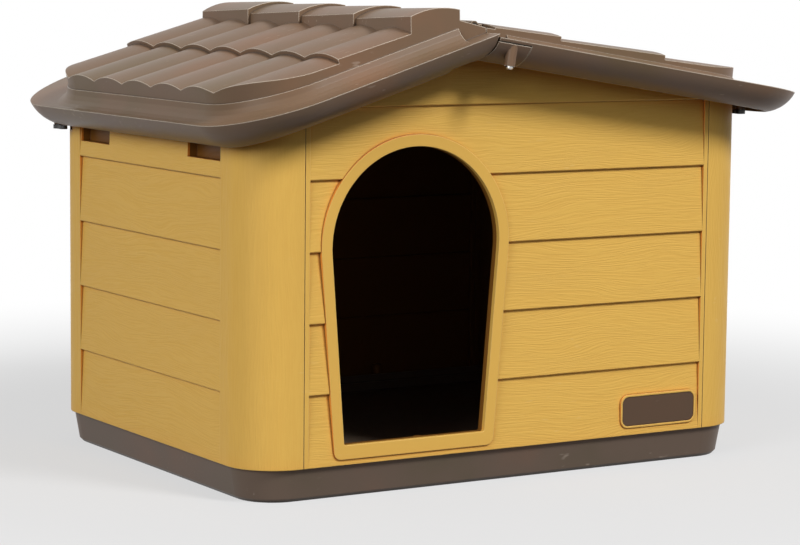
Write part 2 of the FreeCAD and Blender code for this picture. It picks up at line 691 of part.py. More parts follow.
def slope_length(x):
    angle = LEFT_ANGLE if x < JOINT_X else RIGHT_ANGLE
    return abs(x - JOINT_X) / math.cos(angle)


def half_outline(start, end, y0, y1, r0, r1, z):
    """Rectangle open to the joint, with both eave corners rounded."""
    k = 1 - math.sqrt(0.5)
    points = [V(start, y0, z), V(end - r0, y0, z), V(end, y0 + r0, z), V(end, y1 - r1, z)]
    points += [V(end - r1, y1, z), V(start, y1, z)]
    edges = [Part.LineSegment(points[0], points[1]).toShape()]
    edges.append(Part.Arc(points[1], V(end - r0 * k, y0 + r0 * k, z), points[2]).toShape())
    edges.append(Part.LineSegment(points[2], points[3]).toShape())
    edges.append(Part.Arc(points[3], V(end - r1 * k, y1 - r1 * k, z), points[4]).toShape())
    edges.append(Part.LineSegment(points[4], points[5]).toShape())
    edges.append(Part.LineSegment(points[5], points[0]).toShape())
    return Part.Wire(edges)


def rim_wire(end, inset, z):
    return half_outline(-PAST, end - inset, -RIM_HALF + inset, RIM_HALF - inset,
                        RIM_R_FRONT - inset, RIM_R_REAR - inset, z)


def field_block(end, inset):
    """Solid over the tile field, its side walls leaning in a little."""
    wires = []
    for height in (-PAST, FIELD_DRAFT_H):
        step = inset + FIELD_DRAFT * height / FIELD_DRAFT_H
        wires.append(half_outline(-PAST, end - step, FIELD_FRONT_Y + step, FIELD_REAR_Y - step,
                                  FIELD_R - step, FIELD_R - step, height))
    return Part.makeLoft(wires, True, True)


def field_flare(side, end):
    """Hollow curve that leads from the flange up to the sides of the tile field."""
    steps = LEFT_FLARE if side == "left" else RIGHT_FLARE
    start = RIDGE_RIGHT if side == "left" else FIXED_SHOULDER_W
    wires = []
    for reach, height in ((steps[0][0], -FLARE_ROOT),) + steps:
        wires.append(half_outline(start, end + reach, FIELD_FRONT_Y - reach, FIELD_REAR_Y + reach,
                                  FIELD_R + reach, FIELD_R + reach, height))
    return Part.makeLoft(wires, True, True)


def fascia_section(end_point, mid_point):
    """Wire of the curved fascia, inward along X and height along Z, rim edge at the origin."""
    far = V(end_point[0], 0, -end_point[1])
    mid = V(mid_point[0], 0, -mid_point[1])
    inner_far = far + V(0, 0, ROOF_T)
    inner_mid = mid + V(ROOF_T * 0.75, 0, ROOF_T * 0.66)
    inner_top = V(ROOF_T * 1.5, 0, -ROOF_T * 0.5)
    edges = [Part.Arc(V(0, 0, 0), mid, far).toShape()]
    edges.append(Part.LineSegment(far, inner_far).toShape())
    edges.append(Part.Arc(inner_far, inner_mid, inner_top).toShape())
    edges.append(Part.LineSegment(inner_top, V(0, 0, 0)).toShape())
    return Part.Wire(edges)


def blend(first, second, share):
    return tuple(a + (b - a) * share for a, b in zip(first, second))


def placed_section(end_point, mid_point, corner, angle):
    """Fascia section at a corner centre, turned: 0 faces the front, 90 the eave, 180 the back."""
    wire = fascia_section(end_point, mid_point)
    wire.rotate(V(0, 0, 0), V(0, 0, 1), 90 + angle)
    wire.translate(corner)
    return wire


def fascia_band(end, eave, eave_mid):
    """Curved fascia all along the front, the eave and the back of one half."""
    pieces = []
    start = -PAST
    length = end - RIM_R_FRONT - start
    front = placed_section(FASCIA_END, FASCIA_END_MID, V(start, -RIM_HALF, 0), 0)
    pieces.append(Part.Face(front).extrude(V(length, 0, 0)))
    side = placed_section(eave, eave_mid, V(end, -RIM_HALF + RIM_R_FRONT, 0), 90)
    run = 2 * RIM_HALF - RIM_R_FRONT - RIM_R_REAR
    pieces.append(Part.Face(side).extrude(V(0, run, 0)))
    rear = placed_section(FASCIA_END, FASCIA_END_MID, V(start, RIM_HALF, 0), 180)
    pieces.append(Part.Face(rear).extrude(V(end - RIM_R_REAR - start, 0, 0)))
    corners = ((RIM_R_FRONT, -1, 0), (RIM_R_REAR, 1, 90))
    for radius, sign, first in corners:
        sections = []
        for index in range(CORNER_STEPS + 1):
            angle = first + 90.0 * index / CORNER_STEPS
            share = math.sin(math.radians(angle)) ** 2
            turn = math.radians(angle)
            centre = V(end - radius, sign * (RIM_HALF - radius), 0)
            rim = centre + V(math.sin(turn), -math.cos(turn), 0) * radius
            sections.append(placed_section(blend(FASCIA_END, eave, share),
                                           blend(FASCIA_END_MID, eave_mid, share), rim, angle))
        pieces.append(Part.makeLoft(sections, True, False))
    return union(pieces)


def tile_row(lower, upper, low_n, high_n, sag, drop):
    """One row of barrel tiles between two slope positions, standing on the rim plane."""
    base = -PAST / 2
    edges = []
    for column in range(TILE_COLUMNS):
        y0 = FIELD_FRONT_Y + TILE_PITCH * column
        a = V(lower, y0, low_n - drop)
        b = V(lower, y0 + TILE_PITCH, low_n - drop)
        crest = V(lower, y0 + TILE_PITCH / 2, low_n + sag - drop)
        edges.append(Part.Arc(a, crest, b).toShape())
    first = V(lower, FIELD_FRONT_Y, low_n - drop)
    last = V(lower, FIELD_REAR_Y, low_n - drop)
    edges.append(Part.LineSegment(last, V(lower, FIELD_REAR_Y, base)).toShape())
    edges.append(Part.LineSegment(V(lower, FIELD_REAR_Y, base),
                                  V(lower, FIELD_FRONT_Y, base)).toShape())
    edges.append(Part.LineSegment(V(lower, FIELD_FRONT_Y, base), first).toShape())
    return Part.Face(Part.Wire(edges)).extrude(V(upper - lower, 0, high_n - low_n))


def row_spans(side):
    """X of the lower and upper end of each row and its two heights, from the eave up."""
    left = side == "left"
    inward = 1 if left else -1
    lower = LEFT_FIELD_X if left else RIGHT_FIELD_X
    spans = []
    for length, low_n, high_n in (LEFT_ROWS if left else RIGHT_ROWS):
        upper = lower + inward * length
        spans.append((lower, upper, low_n, high_n))
        lower = upper
    last = LEFT_LAST_ROW if left else RIGHT_LAST_ROW
    end = RIDGE_LEFT_X + ROW_UNDER_RIDGE if left else JOINT_X + FIXED_SHOULDER_W - ROW_OVERLAP
    return spans + [(lower, end, *last)]


def tile_rows(side, drop):
    """All rows of a half; drop shrinks them for the hollow underneath."""
    sag = LEFT_TILE_SAG if side == "left" else RIGHT_TILE_SAG
    pieces = []
    for index, (lower_x, upper_x, low_n, high_n) in enumerate(row_spans(side)):
        lower = slope_length(lower_x) + (-drop if index else ROW_OVERLAP)
        upper = slope_length(upper_x) - ROW_OVERLAP
        run = slope_length(lower_x) - slope_length(upper_x)
        high = low_n + (high_n - low_n) * (lower - upper) / run
        pieces.append(slope_place(tile_row(lower, upper, low_n, high, sag, drop), side))
    return pieces


def ridge_section(y, share, drop):
    """Upright section of a ridge tile at y; share runs from 0 in front to 1 behind."""
    left = RIDGE_LEFT_X + RIDGE_TAPER * share + drop
    right = RIDGE_RIGHT_X - RIDGE_TAPER * share / 2 - drop
    side_z = RIDGE_SIDE_Z - RIDGE_SIDE_TAPER * share - drop
    crest = RIDGE_CREST_Z - RIDGE_TAPER * share - drop
    low = SEAT_APEX_Z - SHOULDER_OVER
    start = V(left, y, side_z)
    end = V(right, y, crest)
    mid = V((left + right) / 2, y, crest + RIDGE_CROWN)
    edges = [Part.LineSegment(V(left, y, low), start).toShape(), Part.Arc(start, mid, end).toShape()]
    edges.append(Part.LineSegment(end, V(right, y, low)).toShape())
    edges.append(Part.LineSegment(V(right, y, low), V(left, y, low)).toShape())
    return Part.Wire(edges)


def ridge_cap(drop):
    """Tiles that run down towards the back, each one's front end over the last one's back end."""
    pieces = []
    for index in range(RIDGE_TILES):
        front = FIELD_FRONT_Y + RIDGE_PITCH * index + drop
        back = FIELD_FRONT_Y + RIDGE_PITCH * (index + 1) + drop
        if index == RIDGE_TILES - 1:
            back -= 2 * drop
        elif drop > 0:
            back += OVER
        wires = [ridge_section(front, 0, drop), ridge_section(back, 1, drop)]
        pieces.append(Part.makeLoft(wires, True, True))
    return pieces


def shoulder(side, drop):
    """Plain sloping strip of a half along the joint."""
    low = SEAT_APEX_Z - LEFT_RIM_RISE
    if side == "left":
        under = RIDGE_LEFT_X + ROW_UNDER_RIDGE / 2
        outline = [V(under, 0, low), V(under, 0, SHOULDER_HIGH_Z - drop)]
        outline += [V(RIDGE_RIGHT_X, 0, SHOULDER_HIGH_Z - drop)]
        outline += [V(JOINT_X, 0, SHOULDER_LOW_Z - drop), V(JOINT_X, 0, low)]
    else:
        far = JOINT_X + FIXED_SHOULDER_W
        outline = [V(JOINT_X, 0, low), V(JOINT_X, 0, SHOULDER_LOW_Z - drop)]
        outline += [V(far, 0, right_plane(far, SHOULDER_LOW_Z) - drop), V(far, 0, low)]
    block = polygon_face(outline)
    block.translate(V(0, FIELD_FRONT_Y - SHOULDER_OVER, 0))
    return block.extrude(V(0, FIELD_REAR_Y - FIELD_FRONT_Y + 2 * SHOULDER_OVER, 0))


def roof_shell(side):
    """Moulded half: fascia, rim, flange and hollow tile field."""
    left = side == "left"
    end = slope_length(LEFT_EAVE_X if left else RIGHT_EAVE_X)
    field_end = slope_length(LEFT_FIELD_X if left else RIGHT_FIELD_X)
    band = fascia_band(end, LEFT_EAVE if left else RIGHT_EAVE,
                       LEFT_EAVE_MID if left else RIGHT_EAVE_MID)
    rims = [rim_wire(end, RIM_STEP, 0.0), rim_wire(end, RIM_STEP + ROOF_T * 0.6, -ROOF_T)]
    flange = Part.makeLoft(rims, True, True)
    outer = tile_rows(side, 0) + [shoulder(side, 0)]
    inner = tile_rows(side, ROOF_T) + [shoulder(side, ROOF_T)]
    if left:
        outer += ridge_cap(0)
        inner += ridge_cap(ROOF_T)
    block_out = slope_place(field_block(field_end, 0), side)
    block_in = slope_place(field_block(field_end, ROOF_T), side)
    bump = union(outer).common(block_out)
    hollow = union(inner).common(block_in)
    keep = slope_place(box(-PAST, end + PAST, -FAR, FAR, -ROOF_T, FAR), side)
    bump = bump.common(keep)
    flare = slope_place(field_flare(side, field_end), side)
    shell = slope_place(band, side).fuse([slope_place(flange, side), flare, bump])
    return shell.cut(hollow)


def seat_ribs(side):
    """Web under the shell that follows the walls and lands on their tops."""
    gap = LID_SEAT_GAP if side == "left" else 0.0
    web = body_ring(SEAT_RIB_INSET, SEAT_RIB_INSET + SEAT_RIB_T, WALL_FOOT_Z, TALL)
    return web.common(above_gable(-gap))


def joint_trim(side):
    """Space taken away from a half beyond the joint plane."""
    if side == "left":
        return box(JOINT_X - JOINT_GAP / 2, FAR, -FAR, FAR, 0, FAR)
    return box(-FAR, JOINT_X + JOINT_GAP / 2, -FAR, FAR, 0, FAR)


def under_skin(side, depth):
    """Region from the skin's inner face down, for webs that hang from the skin."""
    left = side == "left"
    half = ROOF_T / 2
    pieces = tile_rows(side, half) + [shoulder(side, half)]
    if left:
        pieces += ridge_cap(half)
    field_end = slope_length(LEFT_FIELD_X if left else RIGHT_FIELD_X)
    block = slope_place(field_block(field_end, half), side)
    end = slope_length(LEFT_EAVE_X if left else RIGHT_EAVE_X)
    low = slope_place(Part.Face(rim_wire(end, WEB_INSET, -half)).extrude(V(0, 0, -depth)), side)
    return union(pieces).common(block).fuse(low)


def joint_web(side):
    """Upright web that closes a half along the joint."""
    face = JOINT_X - JOINT_GAP / 2 if side == "left" else JOINT_X + JOINT_GAP / 2
    other = face - ROOF_T if side == "left" else face + ROOF_T
    return box(min(face, other), max(face, other), -RIM_HALF + WEB_INSET, RIM_HALF - WEB_INSET,
               SEAT_APEX_Z + JOINT_WEB_LIFT, TALL)


def knuckle_spans(rear):
    """Y spans of the fixed, lid and fixed knuckles of one hinge."""
    sign = 1 if rear else -1
    spans = []
    position = FIELD_REAR_Y - HINGE_REAR_IN if rear else -FIELD_FRONT_Y - HINGE_FRONT_IN
    for length in (KNUCKLE_END_L, KNUCKLE_MID_L, KNUCKLE_END_L):
        ends = sorted((sign * position, sign * (position - length)))
        spans.append((ends[0] + KNUCKLE_GAP / 2, ends[1] - KNUCKLE_GAP / 2))
        position -= length
    return spans


def along_hinge(radius, y0, y1):
    return cylinder(radius, y1 - y0, V(JOINT_X, y0, HINGE_Z), V(0, 1, 0))


def knuckle(side, y0, y1):
    """Barrel with a root that joins it to its roof half's upper edge."""
    sign = -1 if side == "left" else 1
    barrel = along_hinge(KNUCKLE_R, y0, y1)
    near = JOINT_X + sign * (JOINT_GAP / 2)
    far = JOINT_X + sign * (KNUCKLE_R + ROOT_W)
    root = box(min(near, far), max(near, far), y0, y1, HINGE_Z - ROOT_DOWN, HINGE_Z + ROOT_UP)
    return barrel.fuse(root)


def with_hinge(shape, side):
    """Add the knuckles of one half and clear the space of the other half's."""
    for rear in (False, True):
        spans = knuckle_spans(rear)
        own = [spans[1]] if side == "left" else [spans[0], spans[2]]
        others = [spans[0], spans[2]] if side == "left" else [spans[1]]
        for y0, y1 in others:
            space = along_hinge(KNUCKLE_R + KNUCKLE_CLEAR, y0 - KNUCKLE_GAP, y1 + KNUCKLE_GAP)
            shape = shape.cut(space)
        for y0, y1 in own:
            shape = shape.fuse(knuckle(side, y0, y1))
        low = min(spans[0][0], spans[2][0])
        high = max(spans[0][1], spans[2][1])
        shape = shape.cut(along_hinge(PIN_R + PIN_FIT, low - PIN_BORE_OVER, high + PIN_BORE_OVER))
        reach = (high, high + PIN_BORE_OVER) if rear else (low - PIN_BORE_OVER, low)
        shape = shape.cut(along_hinge(PIN_HEAD_R + PIN_HEAD_CLEAR, reach[0], reach[1]))
    return shape


def hinge_pin(rear):
    spans = knuckle_spans(rear)
    low = min(spans[0][0], spans[2][0])
    high = max(spans[0][1], spans[2][1])
    head = (high, high + PIN_HEAD_T) if rear else (low - PIN_HEAD_T, low)
    return union([along_hinge(PIN_R, low, high), along_hinge(PIN_HEAD_R, head[0], head[1])])


# ---------------------------------------------------------------- joint covers
def nose_keep(clearance):
    """Region left of the rounded end of the lid's fascia, seen from the front."""
    radius = NOSE_R + clearance
    centre_x = NOSE_X - NOSE_R
    centre_z = NOSE_Z + NOSE_R
    right = centre_x + radius
    low = centre_z - radius
    k = math.sqrt(0.5)
    edges = [Part.LineSegment(V(right, 0, TALL), V(right, 0, centre_z)).toShape()]
    edges.append(Part.Arc(V(right, 0, centre_z), V(centre_x + radius * k, 0, centre_z - radius * k),
                          V(centre_x, 0, low)).toShape())
    far_x = centre_x - FAR
    slope_end = V(far_x, 0, low - FAR * LEFT_SLOPE)
    edges.append(Part.LineSegment(V(centre_x, 0, low), slope_end).toShape())
    edges.append(Part.LineSegment(slope_end, V(far_x, 0, TALL)).toShape())
    edges.append(Part.LineSegment(V(far_x, 0, TALL), V(right, 0, TALL)).toShape())
    keep = Part.Face(Part.Wire(edges)).extrude(V(0, 2 * FAR, 0))
    keep.translate(V(0, -FAR, 0))
    return keep


def fascia_fill(side, rear, start, length):
    """Solid piece of fascia, for the lid's nose and the joint covers."""
    half = RIM_HALF
    far = V(FASCIA_END[0], 0, -FASCIA_END[1])
    mid = V(FASCIA_END_MID[0], 0, -FASCIA_END_MID[1])
    edges = [Part.Arc(V(0, 0, 0), mid, far).toShape()]
    edges.append(Part.LineSegment(far, V(far.x, 0, 0)).toShape())
    edges.append(Part.LineSegment(V(far.x, 0, 0), V(0, 0, 0)).toShape())
    wire = Part.Wire(edges)
    wire.rotate(V(0, 0, 0), V(0, 0, 1), 90 if not rear else 270)
    wire.translate(V(start, half if rear else -half, 0))
    return slope_place(Part.Face(wire).extrude(V(length, 0, 0)), side)


def lid_noses(shell):
    """Close the lid's fascia at the joint with rounded solid ends."""
    for rear in (False, True):
        shell = shell.fuse(fascia_fill("left", rear, -NOSE_L, 2 * NOSE_L))
    x0 = NOSE_X - NOSE_R - COVER_RUN
    low = box(x0, FAR, -FAR, FAR, 0, LEFT_RIM_Z - ROOF_T / 2)
    cut_away = low.cut(nose_keep(0.0))
    y_in = HALF_D - RAIL_DEPTH
    middle = box(x0, FAR, -y_in, y_in, 0, LEFT_RIM_Z)
    return shell.cut(cut_away.cut(middle))


def boss_axis_point(rear, depth):
    """Point on a cover screw's axis, at a depth below the rim plane."""
    y = (RIM_HALF - BOSS_IN) * (1 if rear else -1)
    point = Part.Vertex(V(BOSS_S, y, -depth))
    return slope_place(point, "right").Point


def joint_cover(rear):
    """Cheek of fascia over the joint, with the hollow boss of its screw."""
    block = fascia_fill("right", rear, -COVER_RUN, COVER_S + COVER_RUN - PANEL_GAP / 2)
    top = box(-PAST, COVER_S + PAST, -FAR, FAR, -ROOF_T, PAST)
    block = block.cut(slope_place(top, "right"))
    outer_y = RIM_HALF - COVER_SEAT_IN
    y0, y1 = (outer_y, FAR) if rear else (-FAR, -outer_y)
    slit = box(-PAST, COVER_S + PAST, y0, y1, -ROOF_T - COVER_SLIT, PAST)
    block = block.cut(slope_place(slit, "right"))
    up = boss_axis_point(rear, 0) - boss_axis_point(rear, 1)
    bottom = boss_axis_point(rear, BOSS_BOTTOM)
    block = block.fuse(cylinder(BOSS_R, BOSS_BOTTOM - ROOF_T - COVER_SLIT, bottom, up))
    block = block.cut(cylinder(SCREW_R + SCREW_FIT, BOSS_BOTTOM, bottom - up, up))
    socket = boss_axis_point(rear, PILOT_DEPTH + PILOT_FIT)
    block = block.cut(cylinder(PILOT_R + PILOT_FIT, PILOT_DEPTH + 2 * OVER, socket, up))
    block = block.cut(nose_keep(COVER_SLIT))
    tip = box(-FAR, COVER_TIP_X, -FAR, FAR, 0, TALL)
    return block.cut(tip).removeSplitter()


def cover_space():
    """Space taken from the fixed half's fascia for the two covers."""
    inner = RIM_HALF - FASCIA_END[0] - ROOF_T
    parts = []
    for y0, y1 in ((-FAR, -inner), (inner, FAR)):
        parts.append(slope_place(box(-PAST, COVER_S, y0, y1, -PAST, -ROOF_T), "right"))
    return parts


def with_pilots(shape):
    """Solid pilots that the cover screws bite into, hanging from the flange."""
    for rear in (False, True):
        up = boss_axis_point(rear, 0) - boss_axis_point(rear, 1)
        low = boss_axis_point(rear, PILOT_DEPTH)
        shape = shape.fuse(cylinder(PILOT_R, PILOT_DEPTH - ROOF_T / 2, low, up))
        shape = shape.cut(cylinder(SCREW_R, PILOT_DEPTH - PILOT_END, low, up))
    return shape


def cover_screw(rear):
    up = boss_axis_point(rear, 0) - boss_axis_point(rear, 1)
    return screw(boss_axis_point(rear, BOSS_BOTTOM), up, COVER_SCREW_L)


# ---------------------------------------------------------------- latches
def latch_centre(sign, z):
    return V(sign * LATCH_X, -sign * LATCH_Y, z)


def with_latch_boss(shape, side):
    """Upright boss inside the fascia that carries a latch."""
    sign = -1 if side == "left" else 1
    low = latch_top(sign) + LATCH_GAP
    x = sign * LATCH_X
    rim = left_plane(x, LEFT_RIM_Z) if side == "left" else right_plane(x, RIGHT_RIM_Z)
    high = rim - ROOF_T / 2
    shape = shape.fuse(cylinder(LATCH_BOSS_R, high - low, latch_centre(sign, low)))
    start = latch_centre(sign, low - LATCH_HOLE_START)
    return shape.cut(cylinder(SCREW_R, high - low + LATCH_HOLE_START - LATCH_HOLE_STOP, start))


def latch(sign):
    """Small turning catch, at rest along the wall."""
    top = latch_top(sign)
    hub = cylinder(LATCH_HUB_R, LATCH_T, V(0, 0, 0))
    arm = box(-LATCH_HALF_W, LATCH_HALF_W, -LATCH_L + LATCH_HALF_W, 0, 0, LATCH_T)
    tip = cylinder(LATCH_HALF_W, LATCH_T, V(0, -LATCH_L + LATCH_HALF_W, 0))
    body = union([hub, arm, tip])
    body = body.cut(cylinder(LATCH_HOLE_R, LATCH_T + 2 * OVER, V(0, 0, -OVER)))
    body = body.cut(cylinder(SCREW_HEAD_R + LATCH_HEAD_FIT, LATCH_SEAT_T, V(0, 0, 0)))
    if sign > 0:
        body.rotate(V(0, 0, 0), V(0, 0, 1), 180)
    body.translate(latch_centre(sign, top - LATCH_T))
    return body


def latch_screw(sign):
    seat = latch_centre(sign, latch_top(sign) - LATCH_T + LATCH_SEAT_T)
    return screw(seat, V(0, 0, 1), LATCH_SCREW_L)


# ---------------------------------------------------------------- finished roof halves
def with_roof_bosses(shape):
    """Bosses of the fixed half that stand on the walls' ears."""
    skin = under_skin("right", BOSS_REACH)
    for points in roof_screw_points().values():
        for point in points:
            low = ear_top(point)
            boss = cylinder(ROOF_BOSS_R, PAST, V(point.x, point.y, low)).common(skin)
            shape = shape.fuse(boss)
            shape = shape.cut(cylinder(SCREW_R, ROOF_SCREW_L - EAR_T, V(point.x, point.y, low)))
    return shape


def roof_screws():
    screws = []
    for points in roof_screw_points().values():
        for point in points:
            seat = V(point.x, point.y, ear_top(point) - EAR_T)
            screws.append(screw(seat, V(0, 0, 1), ROOF_SCREW_L - SCREW_END))
    return screws


def finish_half(side):
    shell = roof_shell(side).cut(joint_trim(side))
    skin = under_skin(side, SEAT_RIB_REACH)
    web = seat_ribs(side).common(skin).cut(joint_trim(side))
    closing = joint_web(side).common(skin)
    return shell.fuse([web, closing])


def roof_lid():
    shell = finish_half("left")
    shell = lid_noses(shell).cut(joint_trim("left"))
    shell = with_hinge(shell, "left")
    return with_latch_boss(shell, "left").removeSplitter()


def roof_fixed():
    shell = finish_half("right").cut(cover_space())
    shell = with_pilots(shell)
    shell = with_roof_bosses(shell)
    shell = with_hinge(shell, "right")
    return with_latch_boss(shell, "right").removeSplitter()


# ================================================================ export
def export(name, shape):
    shape = Part.makeCompound(shape) if isinstance(shape, list) else shape
    solids = shape.Solids
    print(name, "solids", len(solids), "valid", shape.isValid(), "volume",
          round(sum(s.Volume for s in solids)))
    if len(solids) == 1:
        shape = solids[0]
    shape.exportStep(os.path.join("parts", name + ".step"))


def main():
    os.makedirs("parts", exist_ok=True)
    export("base_tray", base_tray())
    export("front_panel", front_panel())
    export("back_panel", back_panel())
    export("left_wall", left_wall())
    export("right_wall", right_wall())
    export("name_plate", name_plate())
    export("roof_lid", roof_lid())
    export("roof_fixed", roof_fixed())
    export("hinge_pin_front", hinge_pin(False))
    export("hinge_pin_rear", hinge_pin(True))
    export("joint_cover_front", joint_cover(False))
    export("joint_cover_rear", joint_cover(True))
    export("cover_screw_front", cover_screw(False))
    export("cover_screw_rear", cover_screw(True))
    export("latch_left", latch(-1))
    export("latch_right", latch(1))
    export("latch_screw_left", latch_screw(-1))
    export("latch_screw_right", latch_screw(1))
    for side in ("front", "back", "left", "right"):
        export("base_screws_" + side, base_screws(side))
    export("roof_screws", roof_screws())


main()
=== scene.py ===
import bpy
import math
from bpy.props import FloatProperty, FloatVectorProperty, PointerProperty
from bpy.types import Operator, Panel, PropertyGroup
from mathutils import Matrix, Vector


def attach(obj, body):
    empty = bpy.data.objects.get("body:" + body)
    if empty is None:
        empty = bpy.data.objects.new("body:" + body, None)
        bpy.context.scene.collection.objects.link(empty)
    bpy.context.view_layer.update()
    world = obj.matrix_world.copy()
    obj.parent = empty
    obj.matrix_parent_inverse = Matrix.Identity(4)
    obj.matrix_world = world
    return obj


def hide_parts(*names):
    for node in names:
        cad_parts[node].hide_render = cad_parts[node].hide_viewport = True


bl_info = {
    "name": "Small moulded dog house",
    "version": (1, 0, 0),
    "blender": (4, 5, 0),
    "location": "View3D > Sidebar > Dog house",
    "description": "Finishes of a small plastic dog house with plank walls and a hinged tile roof",
    "category": "Object",
}

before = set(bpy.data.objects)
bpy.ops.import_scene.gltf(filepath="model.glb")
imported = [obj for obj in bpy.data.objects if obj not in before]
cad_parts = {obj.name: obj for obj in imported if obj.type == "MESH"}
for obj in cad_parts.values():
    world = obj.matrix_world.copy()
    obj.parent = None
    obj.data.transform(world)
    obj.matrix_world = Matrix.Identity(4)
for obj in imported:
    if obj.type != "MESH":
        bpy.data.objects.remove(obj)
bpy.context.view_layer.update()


def srgb(red, green, blue):
    """Linear colour from screen values of 0 to 255."""
    def linear(value):
        share = value / 255
        return share / 12.92 if share <= 0.04045 else ((share + 0.055) / 1.055) ** 2.4
    return tuple(linear(value) for value in (red, green, blue))


# Where the pieces are, in metres: +X to the right of the doorway, +Y to the back, +Z up.
FRONT_Y = -0.195              # plane of the front wall
SIDE_X = 0.2595               # planes of the side walls
PLANK_END_Y = 0.1385          # end of the planks on the side walls, beside the rounded corners
LAP_Z = 0.0902                # first lap of the planks
LAP_PITCH = 0.0601
PANEL_EDGE_X = 0.2054         # plain upright strip at each end of the front and back panels
DOOR_X = -0.101
DOOR_ARCH_Z = 0.213
DOOR_R = 0.0835
CORNER_R = 0.044              # rounded upright corners of the walls
INNER_DEPTH = 0.0031          # a point this deep inside the walls' outer faces is on an inner face
SURROUND_RIM = 0.0102         # smooth surround of the doorway, beyond the opening
SURROUND_LEAN = 4.5           # degrees that its sides close in towards the sill
SURROUND_FOOT = (0.0336, 0.0339)
MASK_SOFT = 0.0002            # half width of the soft border between two grains
# Painted shade: a wall this near the eaves takes a redder ochre from ambient occlusion.
EAVE_SHADE_REACH = 0.09          # how near the eaves a wall takes the redder tone
# Painted shade: a joint this near another face takes a dark tone from ambient occlusion.
CREASE_SHADE_REACH = 0.0028         # how near another face a joint takes the dark tone

# Screws: middle of the head's outer face, way to the tip, and length under the head.
UP = (0.0, 0.0, 1.0)
COVER_AXIS = (0.1541, 0.0, 0.988)
TRAY_SCREW_Z = 0.0236
BODY_SCREW_L = 0.015
COVER_SCREW_L = 0.017
CATCH_SCREW_L = 0.014
HOUSE_SCREWS = [((x, y, TRAY_SCREW_Z), UP, BODY_SCREW_L)
                for x in (-0.09, 0.09) for y in (-0.1837, 0.1837)]
HOUSE_SCREWS += [((x, y, TRAY_SCREW_Z), UP, BODY_SCREW_L)
                 for x in (-0.2482, 0.2482) for y in (-0.09, 0.09)]
HOUSE_SCREWS += [((0.12, y, 0.34127), UP, BODY_SCREW_L) for y in (-0.1748, 0.1748)]
HOUSE_SCREWS += [((0.2393, y, 0.32266), UP, BODY_SCREW_L) for y in (-0.095, 0.095)]
HOUSE_SCREWS += [((-0.03871, y, 0.36243), COVER_AXIS, COVER_SCREW_L) for y in (-0.2386, 0.2386)]
HOUSE_SCREWS += [((0.2675, -0.168, 0.3144), UP, CATCH_SCREW_L)]
LID_SCREWS = [((-0.2675, 0.168, 0.29405), UP, CATCH_SCREW_L)]
HOUSE_SCREW_NODES = ("base_screws_front", "base_screws_back", "base_screws_left",
                     "base_screws_right", "roof_screws", "cover_screw_front", "cover_screw_rear",
                     "latch_screw_right")
LID_SCREW_NODES = ("latch_screw_left",)

SCREW_RIM_SHARE = 0.4         # part of a head's height that its bevel takes
SCREW_FACE_SHARE = 0.74       # part of its radius that the flat outer face takes
SCREW_HEAD_SIDES = 28
SCREW_SHANK_SIDES = 16

CAMERA_PLACE = (-1.2853, -2.0839, 0.4519)
CAMERA_ANGLES = (31.727, 6.731, 0.592)    # yaw to the right, pitch down and roll, in degrees
SENSOR_WIDTH = 36.0
FAR_CLIP = 50.0
FLOOR_RADII = (1.2, 3.0, 6.0, 12.0)
FLOOR_STEPS = 64
FLOOR_FADE = (0.42, 1.15)     # the floor runs out to plain white between these radii
LAMP_AIM = (0.0, 0.0, 0.2)
# Lamps: name, which is also its setting's, then disk size and place.
LAMPS = (("key", 1.1, (1.1, -2.8, 2.9)),
         ("fill", 2.2, (-3.2, -1.2, 1.6)),
         ("top", 1.6, (0.3, 0.6, 3.4)))
WHITE = (1.0, 1.0, 1.0, 1.0)


# ------------------------------------------------------------------ sizes and colours to change
def colour(name, description, default):
    return FloatVectorProperty(name=name, description=description, subtype="COLOR", size=3,
                               min=0.0, max=1.0, default=default)


def length(name, description, default, most=1.0):
    return FloatProperty(name=name, description=description, default=default, min=0.0, max=most,
                         subtype="DISTANCE", unit="LENGTH", precision=5)


def factor(name, description, default, most=1.0):
    return FloatProperty(name=name, description=description, default=default, min=0.0, max=most,
                         subtype="FACTOR")


class DogHouseWalls(PropertyGroup):
    colour: colour("Wall plastic", "Ochre plastic of the walls", srgb(233, 187, 92))
    deep: colour("Grain shade", "Darker ochre in the embossed grain", srgb(214, 158, 68))
    crease_shade: colour("Crease", "Painted shade in the laps and joints", srgb(96, 56, 16))
    inner: colour("Inner face shade", "Painted shade: unlit ochre of the smooth inner faces", srgb(126, 82, 30))
    eave_shade: colour("Eave shade", "Painted shade: redder ochre under the eaves and in recesses",
                      srgb(230, 122, 30))
    line_pitch: length("Grain pitch", "Distance between the fine grain lines", 0.0012)
    ring_pitch: length("Ring pitch", "Distance between the broad rings of the grain", 0.014)
    emboss: length("Emboss depth", "Depth of the embossed wood grain", 0.0001)
    roughness: factor("Roughness", "Roughness of the wall plastic", 0.5)
    edge: length("Edge round", "Rounding of the moulded edges", 0.001)


class DogHouseRoof(PropertyGroup):
    colour: colour("Roof plastic", "Brown plastic of the roof", srgb(119, 95, 74))
    shade: colour("Roof shade", "Painted shade: darker brown of the faces that look down", srgb(112, 93, 79))
    base: colour("Tray plastic", "Brown plastic of the base tray", srgb(106, 90, 78))
    plate: colour("Name plate", "Dark brown of the bare name plate", srgb(90, 70, 55))
    edge_highlight: colour("Edge highlight", "Painted highlight: pale tone along the outer edges", srgb(222, 208, 190))
    texture: length("Texture size", "Size of the fine moulded texture", 0.0007)
    texture_depth: length("Texture depth", "Depth of the fine moulded texture", 0.00003)
    roughness: factor("Roughness", "Roughness of the brown plastic", 0.42)
    edge: length("Edge round", "Rounding of the roof's moulded edges", 0.0013)


